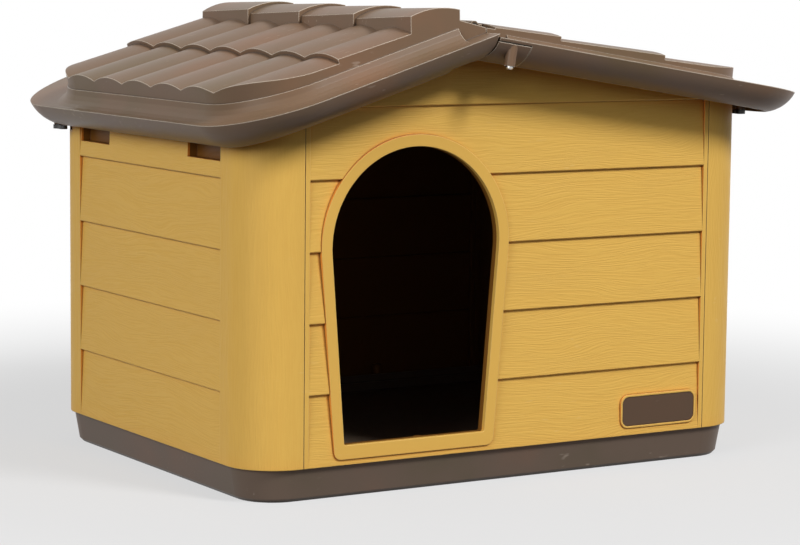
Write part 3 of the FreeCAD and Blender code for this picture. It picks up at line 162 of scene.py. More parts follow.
class DogHouseMetal(PropertyGroup):
    zinc: colour("Zinc plate", "Bright zinc of the screws", srgb(206, 206, 204))
    pin: colour("Hinge pins", "Blackened steel of the hinge pins", srgb(52, 47, 44))
    catch: colour("Catch plastic", "Black plastic of the catches", srgb(26, 25, 25))
    head_radius: length("Head radius", "Radius of a screw's pan head", 0.0034)
    head_height: length("Head height", "Height of a screw's pan head", 0.0024)
    shank_radius: length("Shank radius", "Radius of a screw's shank", 0.0016)
    slot_width: length("Slot width", "Width of the cross recess", 0.0009)
    slot_depth: length("Slot depth", "Depth of the cross recess", 0.0011)
    slot_reach: length("Slot reach", "Half length of the cross recess", 0.0021)


class DogHouseStage(PropertyGroup):
    lens: FloatProperty(name="Lens", description="Focal length for a 36 mm wide sensor",
                        default=118.81, min=20.0, max=300.0, unit="CAMERA")
    floor: colour("Floor", "Pale floor near the house", (0.19, 0.19, 0.193))
    glow: factor("Floor white", "White added to the floor where the camera sees it", 0.59)
    key: FloatProperty(name="Key light", description="Power of the lamp high in front",
                       default=122.0, min=0.0, unit="POWER")
    fill: FloatProperty(name="Fill light", description="Power of the large lamp on the left",
                        default=70.0, min=0.0, unit="POWER")
    top: FloatProperty(name="Top light", description="Power of the lamp over the roof",
                       default=5.0, min=0.0, unit="POWER")
    sky: factor("Room light", "Level of the even light of the room", 0.2)


# ------------------------------------------------------------------ shader helpers
def add_node(tree, kind, **values):
    """A new node with some of its attributes set."""
    node = tree.nodes.new(kind)
    for key, value in values.items():
        setattr(node, key, value)
    return node


def wire(tree, source, target):
    """Join an output socket to an input socket, or set the input to a plain value."""
    if isinstance(source, bpy.types.NodeSocket):
        tree.links.new(source, target)
    else:
        target.default_value = source


def maths(tree, operation, first, second=None, third=None):
    """Output of a Math node; each input is a socket or a plain number."""
    node = add_node(tree, "ShaderNodeMath", operation=operation)
    for socket, value in zip(node.inputs, (first, second, third)):
        if value is not None:
            wire(tree, value, socket)
    return node.outputs[0]


def mix_colour(tree, share, first, second):
    """The first colour, with a share of the second one."""
    node = add_node(tree, "ShaderNodeMix", data_type="RGBA")
    wire(tree, share, node.inputs["Factor"])
    for name, value in (("A", first), ("B", second)):
        socket = [s for s in node.inputs if s.name == name and s.type == "RGBA"][0]
        wire(tree, value if isinstance(value, bpy.types.NodeSocket) else (*value[:3], 1.0), socket)
    return [s for s in node.outputs if s.type == "RGBA"][0]


def smooth_step(tree, value, low, high):
    """Soft rise from 0 to 1 while a value goes from low to high."""
    node = add_node(tree, "ShaderNodeMapRange", interpolation_type="SMOOTHSTEP")
    wire(tree, value, node.inputs["Value"])
    wire(tree, low, node.inputs["From Min"])
    wire(tree, high, node.inputs["From Max"])
    return node.outputs["Result"]


def noise(tree, vector, scale, detail=2.0, roughness=0.5):
    node = add_node(tree, "ShaderNodeTexNoise", noise_dimensions="3D")
    wire(tree, vector, node.inputs["Vector"])
    wire(tree, scale, node.inputs["Scale"])
    node.inputs["Detail"].default_value = detail
    node.inputs["Roughness"].default_value = roughness
    return node.outputs["Fac"]


def mix_value(tree, share, first, second):
    """The first value, with a share of the second one."""
    node = add_node(tree, "ShaderNodeMix", data_type="FLOAT")
    sockets = (node.inputs[0], node.inputs[2], node.inputs[3])
    for socket, value in zip(sockets, (share, first, second)):
        wire(tree, value, socket)
    return node.outputs[0]


def split_xyz(tree, vector):
    node = add_node(tree, "ShaderNodeSeparateXYZ")
    wire(tree, vector, node.inputs[0])
    return node.outputs


def join_xyz(tree, x, y, z):
    node = add_node(tree, "ShaderNodeCombineXYZ")
    for socket, value in zip(node.inputs, (x, y, z)):
        wire(tree, value, socket)
    return node.outputs[0]


def new_group(name, inputs, outputs):
    """A shader node group with named sockets, its input and output nodes."""
    group = bpy.data.node_groups.new(name, "ShaderNodeTree")
    for label, kind, default in inputs:
        socket = group.interface.new_socket(label, in_out="INPUT", socket_type=kind)
        if default is not None:
            socket.default_value = default
    for label, kind in outputs:
        group.interface.new_socket(label, in_out="OUTPUT", socket_type=kind)
    source = group.nodes.new("NodeGroupInput")
    sink = group.nodes.new("NodeGroupOutput")
    return group, source.outputs, sink.inputs


def wood_emboss_group():
    """Wood grain pressed into a plank: lines along one way, warped rings across it."""
    name = "wood emboss"
    if name in bpy.data.node_groups:
        return bpy.data.node_groups[name]
    group, given, out = new_group(
        name,
        [("Along", "NodeSocketFloat", 0.0), ("Across", "NodeSocketFloat", 0.0),
         ("Plank", "NodeSocketFloat", 0.0), ("Line Pitch", "NodeSocketFloat", 0.0016),
         ("Ring Pitch", "NodeSocketFloat", 0.011)],
        [("Height", "NodeSocketFloat"), ("Shade", "NodeSocketFloat")])
    shift = maths(group, "MULTIPLY", given["Plank"], 7.31)
    slow = join_xyz(group, maths(group, "MULTIPLY", given["Along"], 7.0),
                    maths(group, "MULTIPLY", given["Across"], 26.0), shift)
    bend = maths(group, "SUBTRACT", noise(group, slow, 1.0, 1.5, 0.45), 0.5)
    warped = maths(group, "MULTIPLY_ADD", bend, 0.035, given["Across"])
    fine = join_xyz(group, maths(group, "MULTIPLY", given["Along"], 38.0),
                    maths(group, "DIVIDE", warped, given["Line Pitch"]), shift)
    lines = noise(group, fine, 1.0, 2.0, 0.55)
    turn = maths(group, "DIVIDE", warped, given["Ring Pitch"])
    rings = maths(group, "SINE", maths(group, "MULTIPLY", turn, 2 * math.pi))
    rings = maths(group, "POWER", maths(group, "MULTIPLY_ADD", rings, 0.5, 0.5), 3.0)
    patch = join_xyz(group, maths(group, "MULTIPLY", given["Along"], 11.0),
                     maths(group, "MULTIPLY", given["Across"], 60.0), shift)
    strength = smooth_step(group, noise(group, patch, 1.0, 1.0), 0.35, 0.65)
    ring_part = maths(group, "MULTIPLY", maths(group, "MULTIPLY", rings, strength), 0.3)
    line_part = smooth_step(group, lines, 0.36, 0.62)
    height = maths(group, "SUBTRACT", line_part, ring_part)
    wire(group, height, out["Height"])
    wire(group, maths(group, "MULTIPLY_ADD", height, -0.5, 0.5), out["Shade"])
    return group


def moulded_texture_group():
    """Fine even texture of a spark-eroded mould, with slow colour drift and faint scuffs."""
    name = "moulded texture"
    if name in bpy.data.node_groups:
        return bpy.data.node_groups[name]
    group, given, out = new_group(
        name,
        [("Vector", "NodeSocketVector", None), ("Size", "NodeSocketFloat", 0.0007)],
        [("Height", "NodeSocketFloat"), ("Drift", "NodeSocketFloat"), ("Scuff", "NodeSocketFloat")])
    grain = noise(group, given["Vector"], maths(group, "DIVIDE", 1.0, given["Size"]), 2.0, 0.6)
    wire(group, grain, out["Height"])
    wire(group, noise(group, given["Vector"], 9.0, 3.0, 0.5), out["Drift"])
    split = add_node(group, "ShaderNodeVectorMath", operation="MULTIPLY")
    wire(group, given["Vector"], split.inputs[0])
    split.inputs[1].default_value = (60.0, 420.0, 240.0)
    scratches = noise(group, split.outputs[0], 1.0, 1.0, 0.4)
    patches = noise(group, given["Vector"], 14.0, 2.0)
    scuff = maths(group, "MULTIPLY", smooth_step(group, scratches, 0.68, 0.76),
                  smooth_step(group, patches, 0.52, 0.66))
    wire(group, scuff, out["Scuff"])
    return group


def use_group(tree, group, **values):
    """Outputs of a shader node group; an input's name takes _ for a space."""
    node = add_node(tree, "ShaderNodeGroup", node_tree=group)
    for key, value in values.items():
        wire(tree, value, node.inputs[key.replace("_", " ")])
    return node.outputs


def start_material(name, roughness, specular=0.5):
    """A new material with its node tree, its shader and the Object coordinates."""
    material = bpy.data.materials.new(name)
    material.use_nodes = True
    tree = material.node_tree
    shader = tree.nodes["Principled BSDF"]
    shader.inputs["Roughness"].default_value = roughness
    shader.inputs["Specular IOR Level"].default_value = specular
    place = add_node(tree, "ShaderNodeTexCoord").outputs["Object"]
    return material, tree, shader, place


def moulded_edges_group():
    """Normal with the edges rounded, a mask of the outer edges for a painted highlight, and a mask
    of painted shade in the creases.
    """
    name = "moulded edges"
    if name in bpy.data.node_groups:
        return bpy.data.node_groups[name]
    group, given, out = new_group(
        name,
        [("Radius", "NodeSocketFloat", 0.001)],
        [("Normal", "NodeSocketVector"), ("Outer", "NodeSocketFloat"),
         ("Crease", "NodeSocketFloat")])
    rounded = add_node(group, "ShaderNodeBevel", samples=8)
    wire(group, given["Radius"], rounded.inputs["Radius"])
    wire(group, rounded.outputs[0], out["Normal"])
    plain = add_node(group, "ShaderNodeNewGeometry").outputs["Normal"]
    turn = add_node(group, "ShaderNodeVectorMath", operation="DOT_PRODUCT")
    wire(group, rounded.outputs[0], turn.inputs[0])
    wire(group, plain, turn.inputs[1])
    turned_by = maths(group, "SUBTRACT", 1.0, turn.outputs["Value"])
    near_edge = smooth_step(group, turned_by, 0.02, 0.12)
    # Painted crease shade: ambient occlusion over a short reach marks the laps, joints and creases
    # for darkening.
    shut = add_node(group, "ShaderNodeAmbientOcclusion", samples=8)
    shut.inputs["Distance"].default_value = CREASE_SHADE_REACH
    openness = shut.outputs["AO"]
    crease_shade = maths(group, "SUBTRACT", 1.0, smooth_step(group, openness, 0.45, 0.8))
    # Painted highlight: convex outer edges out in the open, where the colour is lightened.
    outer_highlight = maths(group, "MULTIPLY", near_edge, smooth_step(group, openness, 0.85, 0.98))
    wire(group, outer_highlight, out["Outer"])
    wire(group, crease_shade, out["Crease"])
    return group


def relief(tree, shader, height, depth, normal):
    """Fine relief of the given depth over a normal."""
    node = add_node(tree, "ShaderNodeBump")
    node.inputs["Distance"].default_value = depth
    wire(tree, height, node.inputs["Height"])
    wire(tree, normal, node.inputs["Normal"])
    wire(tree, node.outputs[0], shader.inputs["Normal"])


def seen_directly(tree):
    """1 for the rays that show the background: camera, glossy and transmission."""
    rays = add_node(tree, "ShaderNodeLightPath").outputs
    shown = maths(tree, "MAXIMUM", rays["Is Camera Ray"], rays["Is Glossy Ray"])
    return maths(tree, "MAXIMUM", shown, rays["Is Transmission Ray"])


def wall_depth(tree, x, y):
    """Signed distance from the walls' outer outline on plan, less than zero inside."""
    reach = []
    for value, half in ((x, SIDE_X), (y, -FRONT_Y)):
        reach.append(maths(tree, "SUBTRACT", maths(tree, "ABSOLUTE", value), half - CORNER_R))
    beyond = [maths(tree, "MAXIMUM", value, 0.0) for value in reach]
    squares = [maths(tree, "MULTIPLY", value, value) for value in beyond]
    round_part = maths(tree, "SQRT", maths(tree, "ADD", *squares))
    flat_part = maths(tree, "MINIMUM", maths(tree, "MAXIMUM", *reach), 0.0)
    return maths(tree, "SUBTRACT", maths(tree, "ADD", round_part, flat_part), CORNER_R)


# ------------------------------------------------------------------ materials
def wall_material(name, runs_along_x):
    """Ochre wall plastic: level grain on the planks, upright grain on rounded corners and strips,
    painted shade in the creases, under the eaves and on the inner faces, and a painted highlight
    along the outer edges.
    """
    sizes = bpy.context.scene.dog_house_walls
    material, tree, shader, place = start_material(name, sizes.roughness, 0.22)
    x, y, z = split_xyz(tree, place)
    level = x if runs_along_x else y
    rise = maths(tree, "SUBTRACT", z, LAP_Z)
    plank = maths(tree, "FLOOR", maths(tree, "DIVIDE", rise, LAP_PITCH))
    planks = use_group(tree, wood_emboss_group(), Along=level, Across=z, Plank=plank,
                       Line_Pitch=sizes.line_pitch, Ring_Pitch=sizes.ring_pitch)
    end = PANEL_EDGE_X if runs_along_x else PLANK_END_Y
    from_middle = maths(tree, "ABSOLUTE", level)
    upright_mask = smooth_step(tree, from_middle, end - MASK_SOFT, end + MASK_SOFT)
    around = x if runs_along_x else maths(tree, "SUBTRACT", y, x)
    corner = use_group(tree, wood_emboss_group(), Along=z, Across=around, Plank=31.0,
                       Line_Pitch=sizes.line_pitch, Ring_Pitch=sizes.ring_pitch * 1.6)
    height = mix_value(tree, upright_mask, planks["Height"], corner["Height"])
    shade = mix_value(tree, upright_mask, planks["Shade"], corner["Shade"])
    fine = use_group(tree, moulded_texture_group(), Vector=place, Size=0.0006)
    if runs_along_x:
        height = plain_surround(tree, x, z, height)
        shade = plain_surround(tree, x, z, shade)
    # Inner faces: the grain is flattened there, and the colour takes a darker painted shade.
    inner = maths(tree, "LESS_THAN", wall_depth(tree, x, y), -INNER_DEPTH)
    height = mix_value(tree, inner, height, 0.5)
    edges = use_group(tree, moulded_edges_group(), Radius=sizes.edge)
    tone = sizes.colour
    # The last of these marks is a painted highlight along the outer edges; the others are grain
    # shade, drift and scuffs.
    for mask, most, second in ((shade, 0.3, sizes.deep), (fine["Drift"], 0.3, srgb(220, 170, 82)),
                               (fine["Scuff"], 0.15, srgb(240, 212, 150)),
                               (edges["Outer"], 0.35, srgb(246, 218, 150))):
        tone = mix_colour(tree, maths(tree, "MULTIPLY", mask, most), tone, second)
    # Painted shade: a redder ochre where ambient occlusion finds the wall under the eaves or in
    # recesses.
    eave_occlusion = add_node(tree, "ShaderNodeAmbientOcclusion", samples=8)
    eave_occlusion.inputs["Distance"].default_value = EAVE_SHADE_REACH
    eave_shade_share = maths(tree, "SUBTRACT", 1.0, smooth_step(tree, eave_occlusion.outputs["AO"], 0.3, 0.75))
    tone = mix_colour(tree, maths(tree, "MULTIPLY", eave_shade_share, 0.8), tone, sizes.eave_shade)
    # Painted shade: the inner faces take the darker unlit ochre.
    tone = mix_colour(tree, inner, tone, sizes.inner)
    # Painted shade in the laps and joints, from the crease mask.
    tone = mix_colour(tree, maths(tree, "MULTIPLY", edges["Crease"], 0.8), tone, sizes.crease_shade)
    wire(tree, tone, shader.inputs["Base Color"])
    rough = maths(tree, "MULTIPLY_ADD", shade, 0.14, sizes.roughness - 0.05)
    wire(tree, rough, shader.inputs["Roughness"])
    relief(tree, shader, height, sizes.emboss, edges["Normal"])
    return material


def plain_surround(tree, x, z, value):
    """Fades the grain out on the smooth surround of the doorway."""
    over_x = maths(tree, "SUBTRACT", x, DOOR_X)
    over_z = maths(tree, "MAXIMUM", maths(tree, "SUBTRACT", z, DOOR_ARCH_Z), 0.0)
    reach = maths(tree, "SQRT", maths(tree, "ADD", maths(tree, "MULTIPLY", over_x, over_x),
                                      maths(tree, "MULTIPLY", over_z, over_z)))
    below = maths(tree, "MAXIMUM", maths(tree, "SUBTRACT", DOOR_ARCH_Z, z), 0.0)
    lean = math.tan(math.radians(SURROUND_LEAN))
    edge = maths(tree, "MULTIPLY_ADD", below, -lean, DOOR_R + SURROUND_RIM)
    keep = smooth_step(tree, maths(tree, "SUBTRACT", reach, edge), -MASK_SOFT, MASK_SOFT)
    low = smooth_step(tree, z, *SURROUND_FOOT)
    inside = maths(tree, "MULTIPLY", maths(tree, "SUBTRACT", 1.0, keep), low)
    return mix_value(tree, inside, value, 0.5)


def brown_material(name, tone, shade, edge, edge_highlight_share):
    """Brown plastic with a fine moulded texture and slow drifts of tone, painted shade on the faces
    that look down and in the creases, and a painted highlight along the outer edges.
    """
    sizes = bpy.context.scene.dog_house_roof
    material, tree, shader, place = start_material(name, sizes.roughness, 0.2)
    fine = use_group(tree, moulded_texture_group(), Vector=place, Size=sizes.texture)
    # Painted shade: faces that look down take the darker roof shade colour, faces that look up the
    # roof plastic colour.
    facing = split_xyz(tree, add_node(tree, "ShaderNodeNewGeometry").outputs["Normal"])
    body = mix_colour(tree, smooth_step(tree, facing["Z"], -0.8, 0.1), shade, tone)
    warm = tuple(value * gain for value, gain in zip(tone, (1.16, 1.04, 1.0)))
    cool = tuple(value * gain for value, gain in zip(tone, (0.86, 0.92, 0.84)))
    body = mix_colour(tree, smooth_step(tree, fine["Drift"], 0.5, 0.72), body, warm)
    body = mix_colour(tree, smooth_step(tree, fine["Drift"], 0.5, 0.28), body, cool)
    body = mix_colour(tree, maths(tree, "MULTIPLY", fine["Scuff"], 0.3), body, srgb(196, 180, 164))
    edges = use_group(tree, moulded_edges_group(), Radius=edge)
    # Painted highlight: a pale tone along the outer edges.
    body = mix_colour(tree, maths(tree, "MULTIPLY", edges["Outer"], edge_highlight_share), body, sizes.edge_highlight)
    # Painted shade in the creases: a near-black brown where another face is close.
    body = mix_colour(tree, maths(tree, "MULTIPLY", edges["Crease"], 0.75), body, srgb(34, 26, 20))
    wire(tree, body, shader.inputs["Base Color"])
    wire(tree, maths(tree, "MULTIPLY_ADD", fine["Drift"], 0.12, sizes.roughness - 0.06),
         shader.inputs["Roughness"])
    relief(tree, shader, fine["Height"], sizes.texture_depth, edges["Normal"])
    return material


def catch_material():
    """Black plastic with faint drifts of tone."""
    sizes = bpy.context.scene.dog_house_metal
    material, tree, shader, place = start_material("catch plastic", 0.42)
    fine = use_group(tree, moulded_texture_group(), Vector=place, Size=0.0005)
    drift = maths(tree, "MULTIPLY", fine["Drift"], 0.4)
    wire(tree, mix_colour(tree, drift, sizes.catch, srgb(52, 50, 48)), shader.inputs["Base Color"])
    edges = use_group(tree, moulded_edges_group(), Radius=0.0004)
    relief(tree, shader, fine["Height"], 0.00003, edges["Normal"])
    return material


def metal_material(name, tone, second_tone, roughness):
    """Plated steel with faint mottling."""
    material, tree, shader, place = start_material(name, roughness)
    shader.inputs["Metallic"].default_value = 1.0
    fine = use_group(tree, moulded_texture_group(), Vector=place, Size=0.0004)
    body = mix_colour(tree, maths(tree, "MULTIPLY", fine["Drift"], 0.5), tone, second_tone)
    wire(tree, body, shader.inputs["Base Color"])
    wire(tree, maths(tree, "MULTIPLY_ADD", fine["Height"], 0.2, roughness - 0.1),
         shader.inputs["Roughness"])
    edges = use_group(tree, moulded_edges_group(), Radius=0.0003)
    relief(tree, shader, fine["Height"], 0.00002, edges["Normal"])
    return material


def finish_nodes(material, *names):
    """Give CAD nodes that keep their own mesh a finish."""
    for name in names:
        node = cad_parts[name]
        for index in range(max(1, len(node.material_slots))):
            if not node.material_slots:
                node.data.materials.append(material)
            node.material_slots[index].material = material


# ------------------------------------------------------------------ operators
class DOGHOUSE_OT_stage(Operator):
    """Camera of the photograph, pale floor and backdrop, and soft studio lamps"""
    bl_idname = "dog_house.stage"
    bl_label = "Camera, floor and lamps"

    def execute(self, context):
        settings = context.scene.dog_house_stage
        self.camera(context, settings)
        self.floor(context, settings)
        self.lamps(context, settings)
        context.scene.view_settings.view_transform = "Standard"
        return {"FINISHED"}

    def camera(self, context, settings):
        yaw, pitch, roll = (math.radians(angle) for angle in CAMERA_ANGLES)
        ahead = Vector((math.sin(yaw) * math.cos(pitch), math.cos(yaw) * math.cos(pitch),
                        -math.sin(pitch)))
        right = Vector((math.cos(yaw), -math.sin(yaw), 0.0))
        up = right.cross(ahead)
        level_right = right * math.cos(roll) + up * math.sin(roll)
        level_up = up * math.cos(roll) - right * math.sin(roll)
        data = bpy.data.cameras.new("photo camera")
        data.sensor_width = SENSOR_WIDTH
        data.lens = settings.lens
        data.clip_end = FAR_CLIP
        camera = bpy.data.objects.new("photo camera", data)
        turn = Matrix((level_right, level_up, -ahead)).transposed().to_4x4()
        camera.matrix_world = Matrix.Translation(CAMERA_PLACE) @ turn
        context.scene.collection.objects.link(camera)
        context.scene.camera = camera

    def floor(self, context, settings):
        """A wide round floor that takes the house's shadow and runs out to plain white."""
        points, faces = [(0.0, 0.0, 0.0)], []
        for radius in FLOOR_RADII:
            for index in range(FLOOR_STEPS):
                angle = 2 * math.pi * index / FLOOR_STEPS
                points.append((radius * math.cos(angle), radius * math.sin(angle), 0.0))
        for index in range(FLOOR_STEPS):
            after = (index + 1) % FLOOR_STEPS
            faces.append((0, 1 + index, 1 + after))
            for ring in range(len(FLOOR_RADII) - 1):
                first, second = 1 + ring * FLOOR_STEPS, 1 + (ring + 1) * FLOOR_STEPS
                faces.append((first + index, second + index, second + after, first + after))
        mesh = bpy.data.meshes.new("floor")
        mesh.from_pydata(points, [], faces)
        floor = bpy.data.objects.new("floor", mesh)
        context.scene.collection.objects.link(floor)
        mesh.materials.append(self.floor_material(settings))

    def floor_material(self, settings):
        """Pale near the house and plain white further out, where the camera sees it."""
        material, tree, shader, place = start_material("pale floor", 0.9, 0.0)
        away = add_node(tree, "ShaderNodeVectorMath", operation="LENGTH")
        wire(tree, place, away.inputs[0])
        far = smooth_step(tree, away.outputs["Value"], *FLOOR_FADE)
        tone = mix_colour(tree, far, settings.floor, (0.0, 0.0, 0.0))
        wire(tree, tone, shader.inputs["Base Color"])
        white = mix_value(tree, far, settings.glow, 1.0)
        shader.inputs["Emission Color"].default_value = WHITE
        strength = maths(tree, "MULTIPLY", white, seen_directly(tree))
        wire(tree, strength, shader.inputs["Emission Strength"])
        return material

    def lamps(self, context, settings):
        for name, size, place in LAMPS:
            data = bpy.data.lights.new(name + " lamp", "AREA")
            data.shape = "DISK"
            data.size = size
            data.energy = getattr(settings, name)
            lamp = bpy.data.objects.new(name + " lamp", data)
            aim = Vector(LAMP_AIM) - Vector(place)
            lamp.rotation_euler = aim.to_track_quat("-Z", "Y").to_euler()
            lamp.location = place
            context.scene.collection.objects.link(lamp)
        world = bpy.data.worlds.new("room")
        context.scene.world = world
        world.use_nodes = True
        tree = world.node_tree
        back = tree.nodes["Background"]
        level = maths(tree, "MULTIPLY_ADD", seen_directly(tree), 1.0 - settings.sky, settings.sky)
        back.inputs["Color"].default_value = WHITE
        wire(tree, level, back.inputs["Strength"])


class DOGHOUSE_OT_walls(Operator):
    """Ochre plank walls with embossed wood grain"""
    bl_idname = "dog_house.walls"
    bl_label = "Walls"

    def execute(self, context):
        ends = wall_material("wall plastic, front and back", True)
        sides = wall_material("wall plastic, sides", False)
        finish_nodes(ends, "front_panel", "back_panel")
        finish_nodes(sides, "left_wall", "right_wall")
        return {"FINISHED"}


class DOGHOUSE_OT_roof(Operator):
    """Both roof halves and the covers of their joint"""
    bl_idname = "dog_house.roof"
    bl_label = "Roof"

    def execute(self, context):
        sizes = context.scene.dog_house_roof
        # The roof takes a strong painted highlight on its outer edges (share 0.85).
        material = brown_material("roof plastic", sizes.colour, sizes.shade, sizes.edge, 0.85)
        finish_nodes(material, "roof_lid", "roof_fixed", "joint_cover_front", "joint_cover_rear")
        return {"FINISHED"}


class DOGHOUSE_OT_base(Operator):
    """Base tray and the bare name plate"""
    bl_idname = "dog_house.base"
    bl_label = "Tray and name plate"

    def execute(self, context):
        sizes = context.scene.dog_house_roof
        # The tray and the name plate take only a faint painted highlight on their outer edges.
        tray = brown_material("tray plastic", sizes.base, sizes.base, sizes.edge, 0.15)
        plate = brown_material("name plate plastic", sizes.plate, sizes.plate, 0.0006, 0.1)
        finish_nodes(tray, "base_tray")
        finish_nodes(plate, "name_plate")
        return {"FINISHED"}


class DOGHOUSE_OT_catches(Operator):
    """Black turning catches under the eaves"""
    bl_idname = "dog_house.catches"
    bl_label = "Catches"

    def execute(self, context):
        finish_nodes(catch_material(), "latch_left", "latch_right")
        return {"FINISHED"}


def screw_tree():
    """Pan-head screws with a cross recess, one on each point, along the attribute "way"."""
    tree = bpy.data.node_groups.new("pan head screws", "GeometryNodeTree")
    inputs = (("Points", "NodeSocketGeometry"), ("Head Radius", "NodeSocketFloat"),
              ("Head Height", "NodeSocketFloat"), ("Shank Radius", "NodeSocketFloat"),
              ("Slot Width", "NodeSocketFloat"), ("Slot Depth", "NodeSocketFloat"),
              ("Slot Reach", "NodeSocketFloat"), ("Material", "NodeSocketMaterial"))
    for label, kind in inputs:
        tree.interface.new_socket(label, in_out="INPUT", socket_type=kind)
    tree.interface.new_socket("Screws", in_out="OUTPUT", socket_type="NodeSocketGeometry")
    given = add_node(tree, "NodeGroupInput").outputs
    radius, height = given["Head Radius"], given["Head Height"]

    def raised(shape, rise):
        node = add_node(tree, "GeometryNodeTransform")
        wire(tree, shape, node.inputs["Geometry"])
        wire(tree, join_xyz(tree, 0.0, 0.0, rise), node.inputs["Translation"])
        return node.outputs[0]

    def frustum(low, high, depth, sides):
        node = add_node(tree, "GeometryNodeMeshCone")
        node.inputs["Vertices"].default_value = sides
        wire(tree, low, node.inputs["Radius Bottom"])
        wire(tree, high, node.inputs["Radius Top"])
        wire(tree, depth, node.inputs["Depth"])
        return node.outputs["Mesh"]

    def bar(x, y, z):
        node = add_node(tree, "GeometryNodeMeshCube")
        wire(tree, join_xyz(tree, x, y, z), node.inputs["Size"])
        return node.outputs["Mesh"]

    rim_height = maths(tree, "MULTIPLY", height, SCREW_RIM_SHARE)
    face_radius = maths(tree, "MULTIPLY", radius, SCREW_FACE_SHARE)
    dome = frustum(face_radius, radius, rim_height, SCREW_HEAD_SIDES)
    drum_height = maths(tree, "MULTIPLY", height, 1.0 - SCREW_RIM_SHARE)
    drum = raised(frustum(radius, radius, drum_height, SCREW_HEAD_SIDES), rim_height)
    joined = add_node(tree, "GeometryNodeJoinGeometry")
    wire(tree, dome, joined.inputs[0])
    wire(tree, drum, joined.inputs[0])
    merged = add_node(tree, "GeometryNodeMergeByDistance")
    wire(tree, joined.outputs[0], merged.inputs["Geometry"])
    reach = maths(tree, "MULTIPLY", given["Slot Reach"], 2.0)
    deep = maths(tree, "MULTIPLY", given["Slot Depth"], 2.0)
    recess = add_node(tree, "GeometryNodeMeshBoolean", operation="DIFFERENCE", solver="EXACT")
    wire(tree, merged.outputs[0], recess.inputs["Mesh 1"])
    tree.links.new(bar(given["Slot Width"], reach, deep), recess.inputs["Mesh 2"])
    tree.links.new(bar(reach, given["Slot Width"], deep), recess.inputs["Mesh 2"])
    way = add_node(tree, "GeometryNodeInputNamedAttribute", data_type="FLOAT_VECTOR")
    way.inputs["Name"].default_value = "way"
    span = add_node(tree, "GeometryNodeInputNamedAttribute", data_type="FLOAT")
    span.inputs["Name"].default_value = "span"
    turned = add_node(tree, "FunctionNodeAlignRotationToVector", axis="Z")
    wire(tree, way.outputs["Attribute"], turned.inputs["Vector"])
    along = add_node(tree, "ShaderNodeVectorMath", operation="SCALE")
    wire(tree, way.outputs["Attribute"], along.inputs[0])
    wire(tree, given["Slot Depth"], along.inputs["Scale"])
    under_slot = add_node(tree, "GeometryNodeSetPosition")
    wire(tree, given["Points"], under_slot.inputs["Geometry"])
    wire(tree, along.outputs["Vector"], under_slot.inputs["Offset"])
    shank = frustum(given["Shank Radius"], given["Shank Radius"], 1.0, SCREW_SHANK_SIDES)
    parts = add_node(tree, "GeometryNodeJoinGeometry")
    for points, shape, scale in ((given["Points"], recess.outputs["Mesh"], (1.0, 1.0, 1.0)),
                                 (under_slot.outputs[0], shank,
                                  (1.0, 1.0, span.outputs["Attribute"]))):
        placed = add_node(tree, "GeometryNodeInstanceOnPoints")
        wire(tree, points, placed.inputs["Points"])
        wire(tree, shape, placed.inputs["Instance"])
        wire(tree, turned.outputs[0], placed.inputs["Rotation"])
        wire(tree, join_xyz(tree, *scale), placed.inputs["Scale"])
        tree.links.new(placed.outputs[0], parts.inputs[0])
    real = add_node(tree, "GeometryNodeRealizeInstances")
    wire(tree, parts.outputs[0], real.inputs["Geometry"])
    painted = add_node(tree, "GeometryNodeSetMaterial")
    wire(tree, real.outputs[0], painted.inputs["Geometry"])
    wire(tree, given["Material"], painted.inputs["Material"])
    wire(tree, painted.outputs[0], add_node(tree, "NodeGroupOutput").inputs["Screws"])
    return tree


def screws(name, places, body, nodes, tree, material):
    """Adds one plain mesh of screws for a body, in place of its CAD screws."""
    sizes = bpy.context.scene.dog_house_metal
    cloud = bpy.data.meshes.new(name + " points")
    cloud.from_pydata([place for place, way, span in places], [], [])
    cloud.attributes.new("way", "FLOAT_VECTOR", "POINT")
    cloud.attributes.new("span", "FLOAT", "POINT")
    ways = [part for _, way, _ in places for part in way]
    cloud.attributes["way"].data.foreach_set("vector", ways)
    spans = [span + sizes.head_height - sizes.slot_depth for _, _, span in places]
    cloud.attributes["span"].data.foreach_set("value", spans)
    source = bpy.data.objects.new(name + " points", cloud)
    bpy.context.scene.collection.objects.link(source)
    modifier = source.modifiers.new("screws", "NODES")
    modifier.node_group = tree
    values = {"Head Radius": sizes.head_radius, "Head Height": sizes.head_height,
              "Shank Radius": sizes.shank_radius, "Slot Width": sizes.slot_width,
              "Slot Depth": sizes.slot_depth, "Slot Reach": sizes.slot_reach, "Material": material}
    for item in tree.interface.items_tree:
        if item.item_type == "SOCKET" and item.name in values:
            modifier[item.identifier] = values[item.name]
    graph = bpy.context.evaluated_depsgraph_get()
    mesh = bpy.data.meshes.new_from_object(source.evaluated_get(graph))
    mesh.name = name
    source.modifiers.remove(modifier)
    bpy.data.objects.remove(source)
    piece = bpy.data.objects.new(name, mesh)
    bpy.context.scene.collection.objects.link(piece)
    if not mesh.polygons:
        raise RuntimeError(name + " came out empty")
    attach(piece, body)
    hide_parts(*nodes)


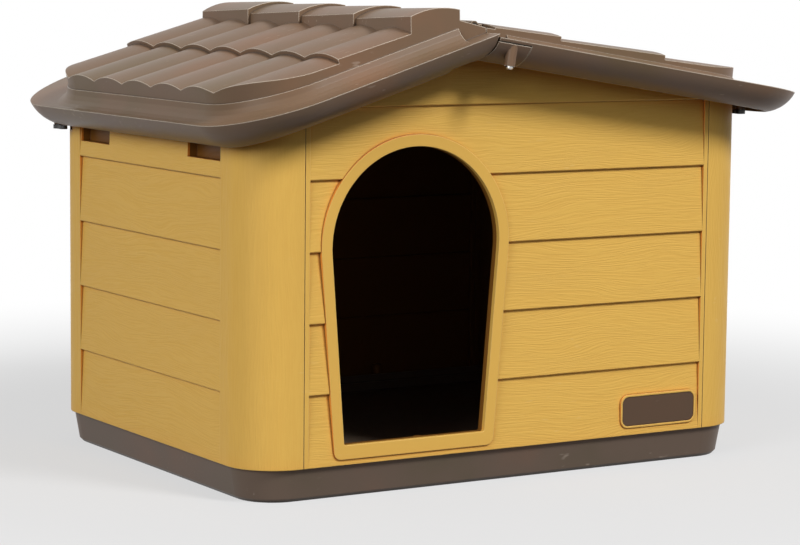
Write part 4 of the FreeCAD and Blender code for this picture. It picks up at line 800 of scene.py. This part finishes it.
class DOGHOUSE_OT_metal(Operator):
    """Zinc-plated screws and blackened hinge pins"""
    bl_idname = "dog_house.metal"
    bl_label = "Screws and pins"

    def execute(self, context):
        sizes = context.scene.dog_house_metal
        zinc = metal_material("zinc plate", sizes.zinc, srgb(176, 174, 168), 0.28)
        pins = metal_material("blackened steel", sizes.pin, srgb(70, 62, 56), 0.4)
        tree = screw_tree()
        screws("house_screws", HOUSE_SCREWS, "house", HOUSE_SCREW_NODES, tree, zinc)
        screws("lid_screws", LID_SCREWS, "lid", LID_SCREW_NODES, tree, zinc)
        finish_nodes(pins, "hinge_pin_front", "hinge_pin_rear")
        return {"FINISHED"}


class DOGHOUSE_PT_panel(Panel):
    """The dog house's pieces and their settings"""
    bl_idname = "DOGHOUSE_PT_panel"
    bl_label = "Dog house"
    bl_space_type = "VIEW_3D"
    bl_region_type = "UI"
    bl_category = "Dog house"

    def draw(self, context):
        for operator in OPERATORS:
            self.layout.operator(operator.bl_idname)
        for name in SETTINGS:
            box = self.layout.box()
            group = getattr(context.scene, name)
            for key in group.__annotations__:
                box.prop(group, key)


OPERATORS = (DOGHOUSE_OT_stage, DOGHOUSE_OT_walls, DOGHOUSE_OT_roof, DOGHOUSE_OT_base,
             DOGHOUSE_OT_catches, DOGHOUSE_OT_metal)
SETTINGS = {"dog_house_stage": DogHouseStage, "dog_house_walls": DogHouseWalls,
            "dog_house_roof": DogHouseRoof, "dog_house_metal": DogHouseMetal}


def register():
    for kind in (*SETTINGS.values(), *OPERATORS, DOGHOUSE_PT_panel):
        bpy.utils.register_class(kind)
    for name, kind in SETTINGS.items():
        setattr(bpy.types.Scene, name, PointerProperty(type=kind))


def unregister():
    for name in SETTINGS:
        delattr(bpy.types.Scene, name)
    for kind in (DOGHOUSE_PT_panel, *reversed(OPERATORS), *reversed(list(SETTINGS.values()))):
        bpy.utils.unregister_class(kind)


def main():
    register()
    for operator in OPERATORS:
        group, action = operator.bl_idname.split(".")
        getattr(getattr(bpy.ops, group), action)()


if __name__ == "__main__":
    main()
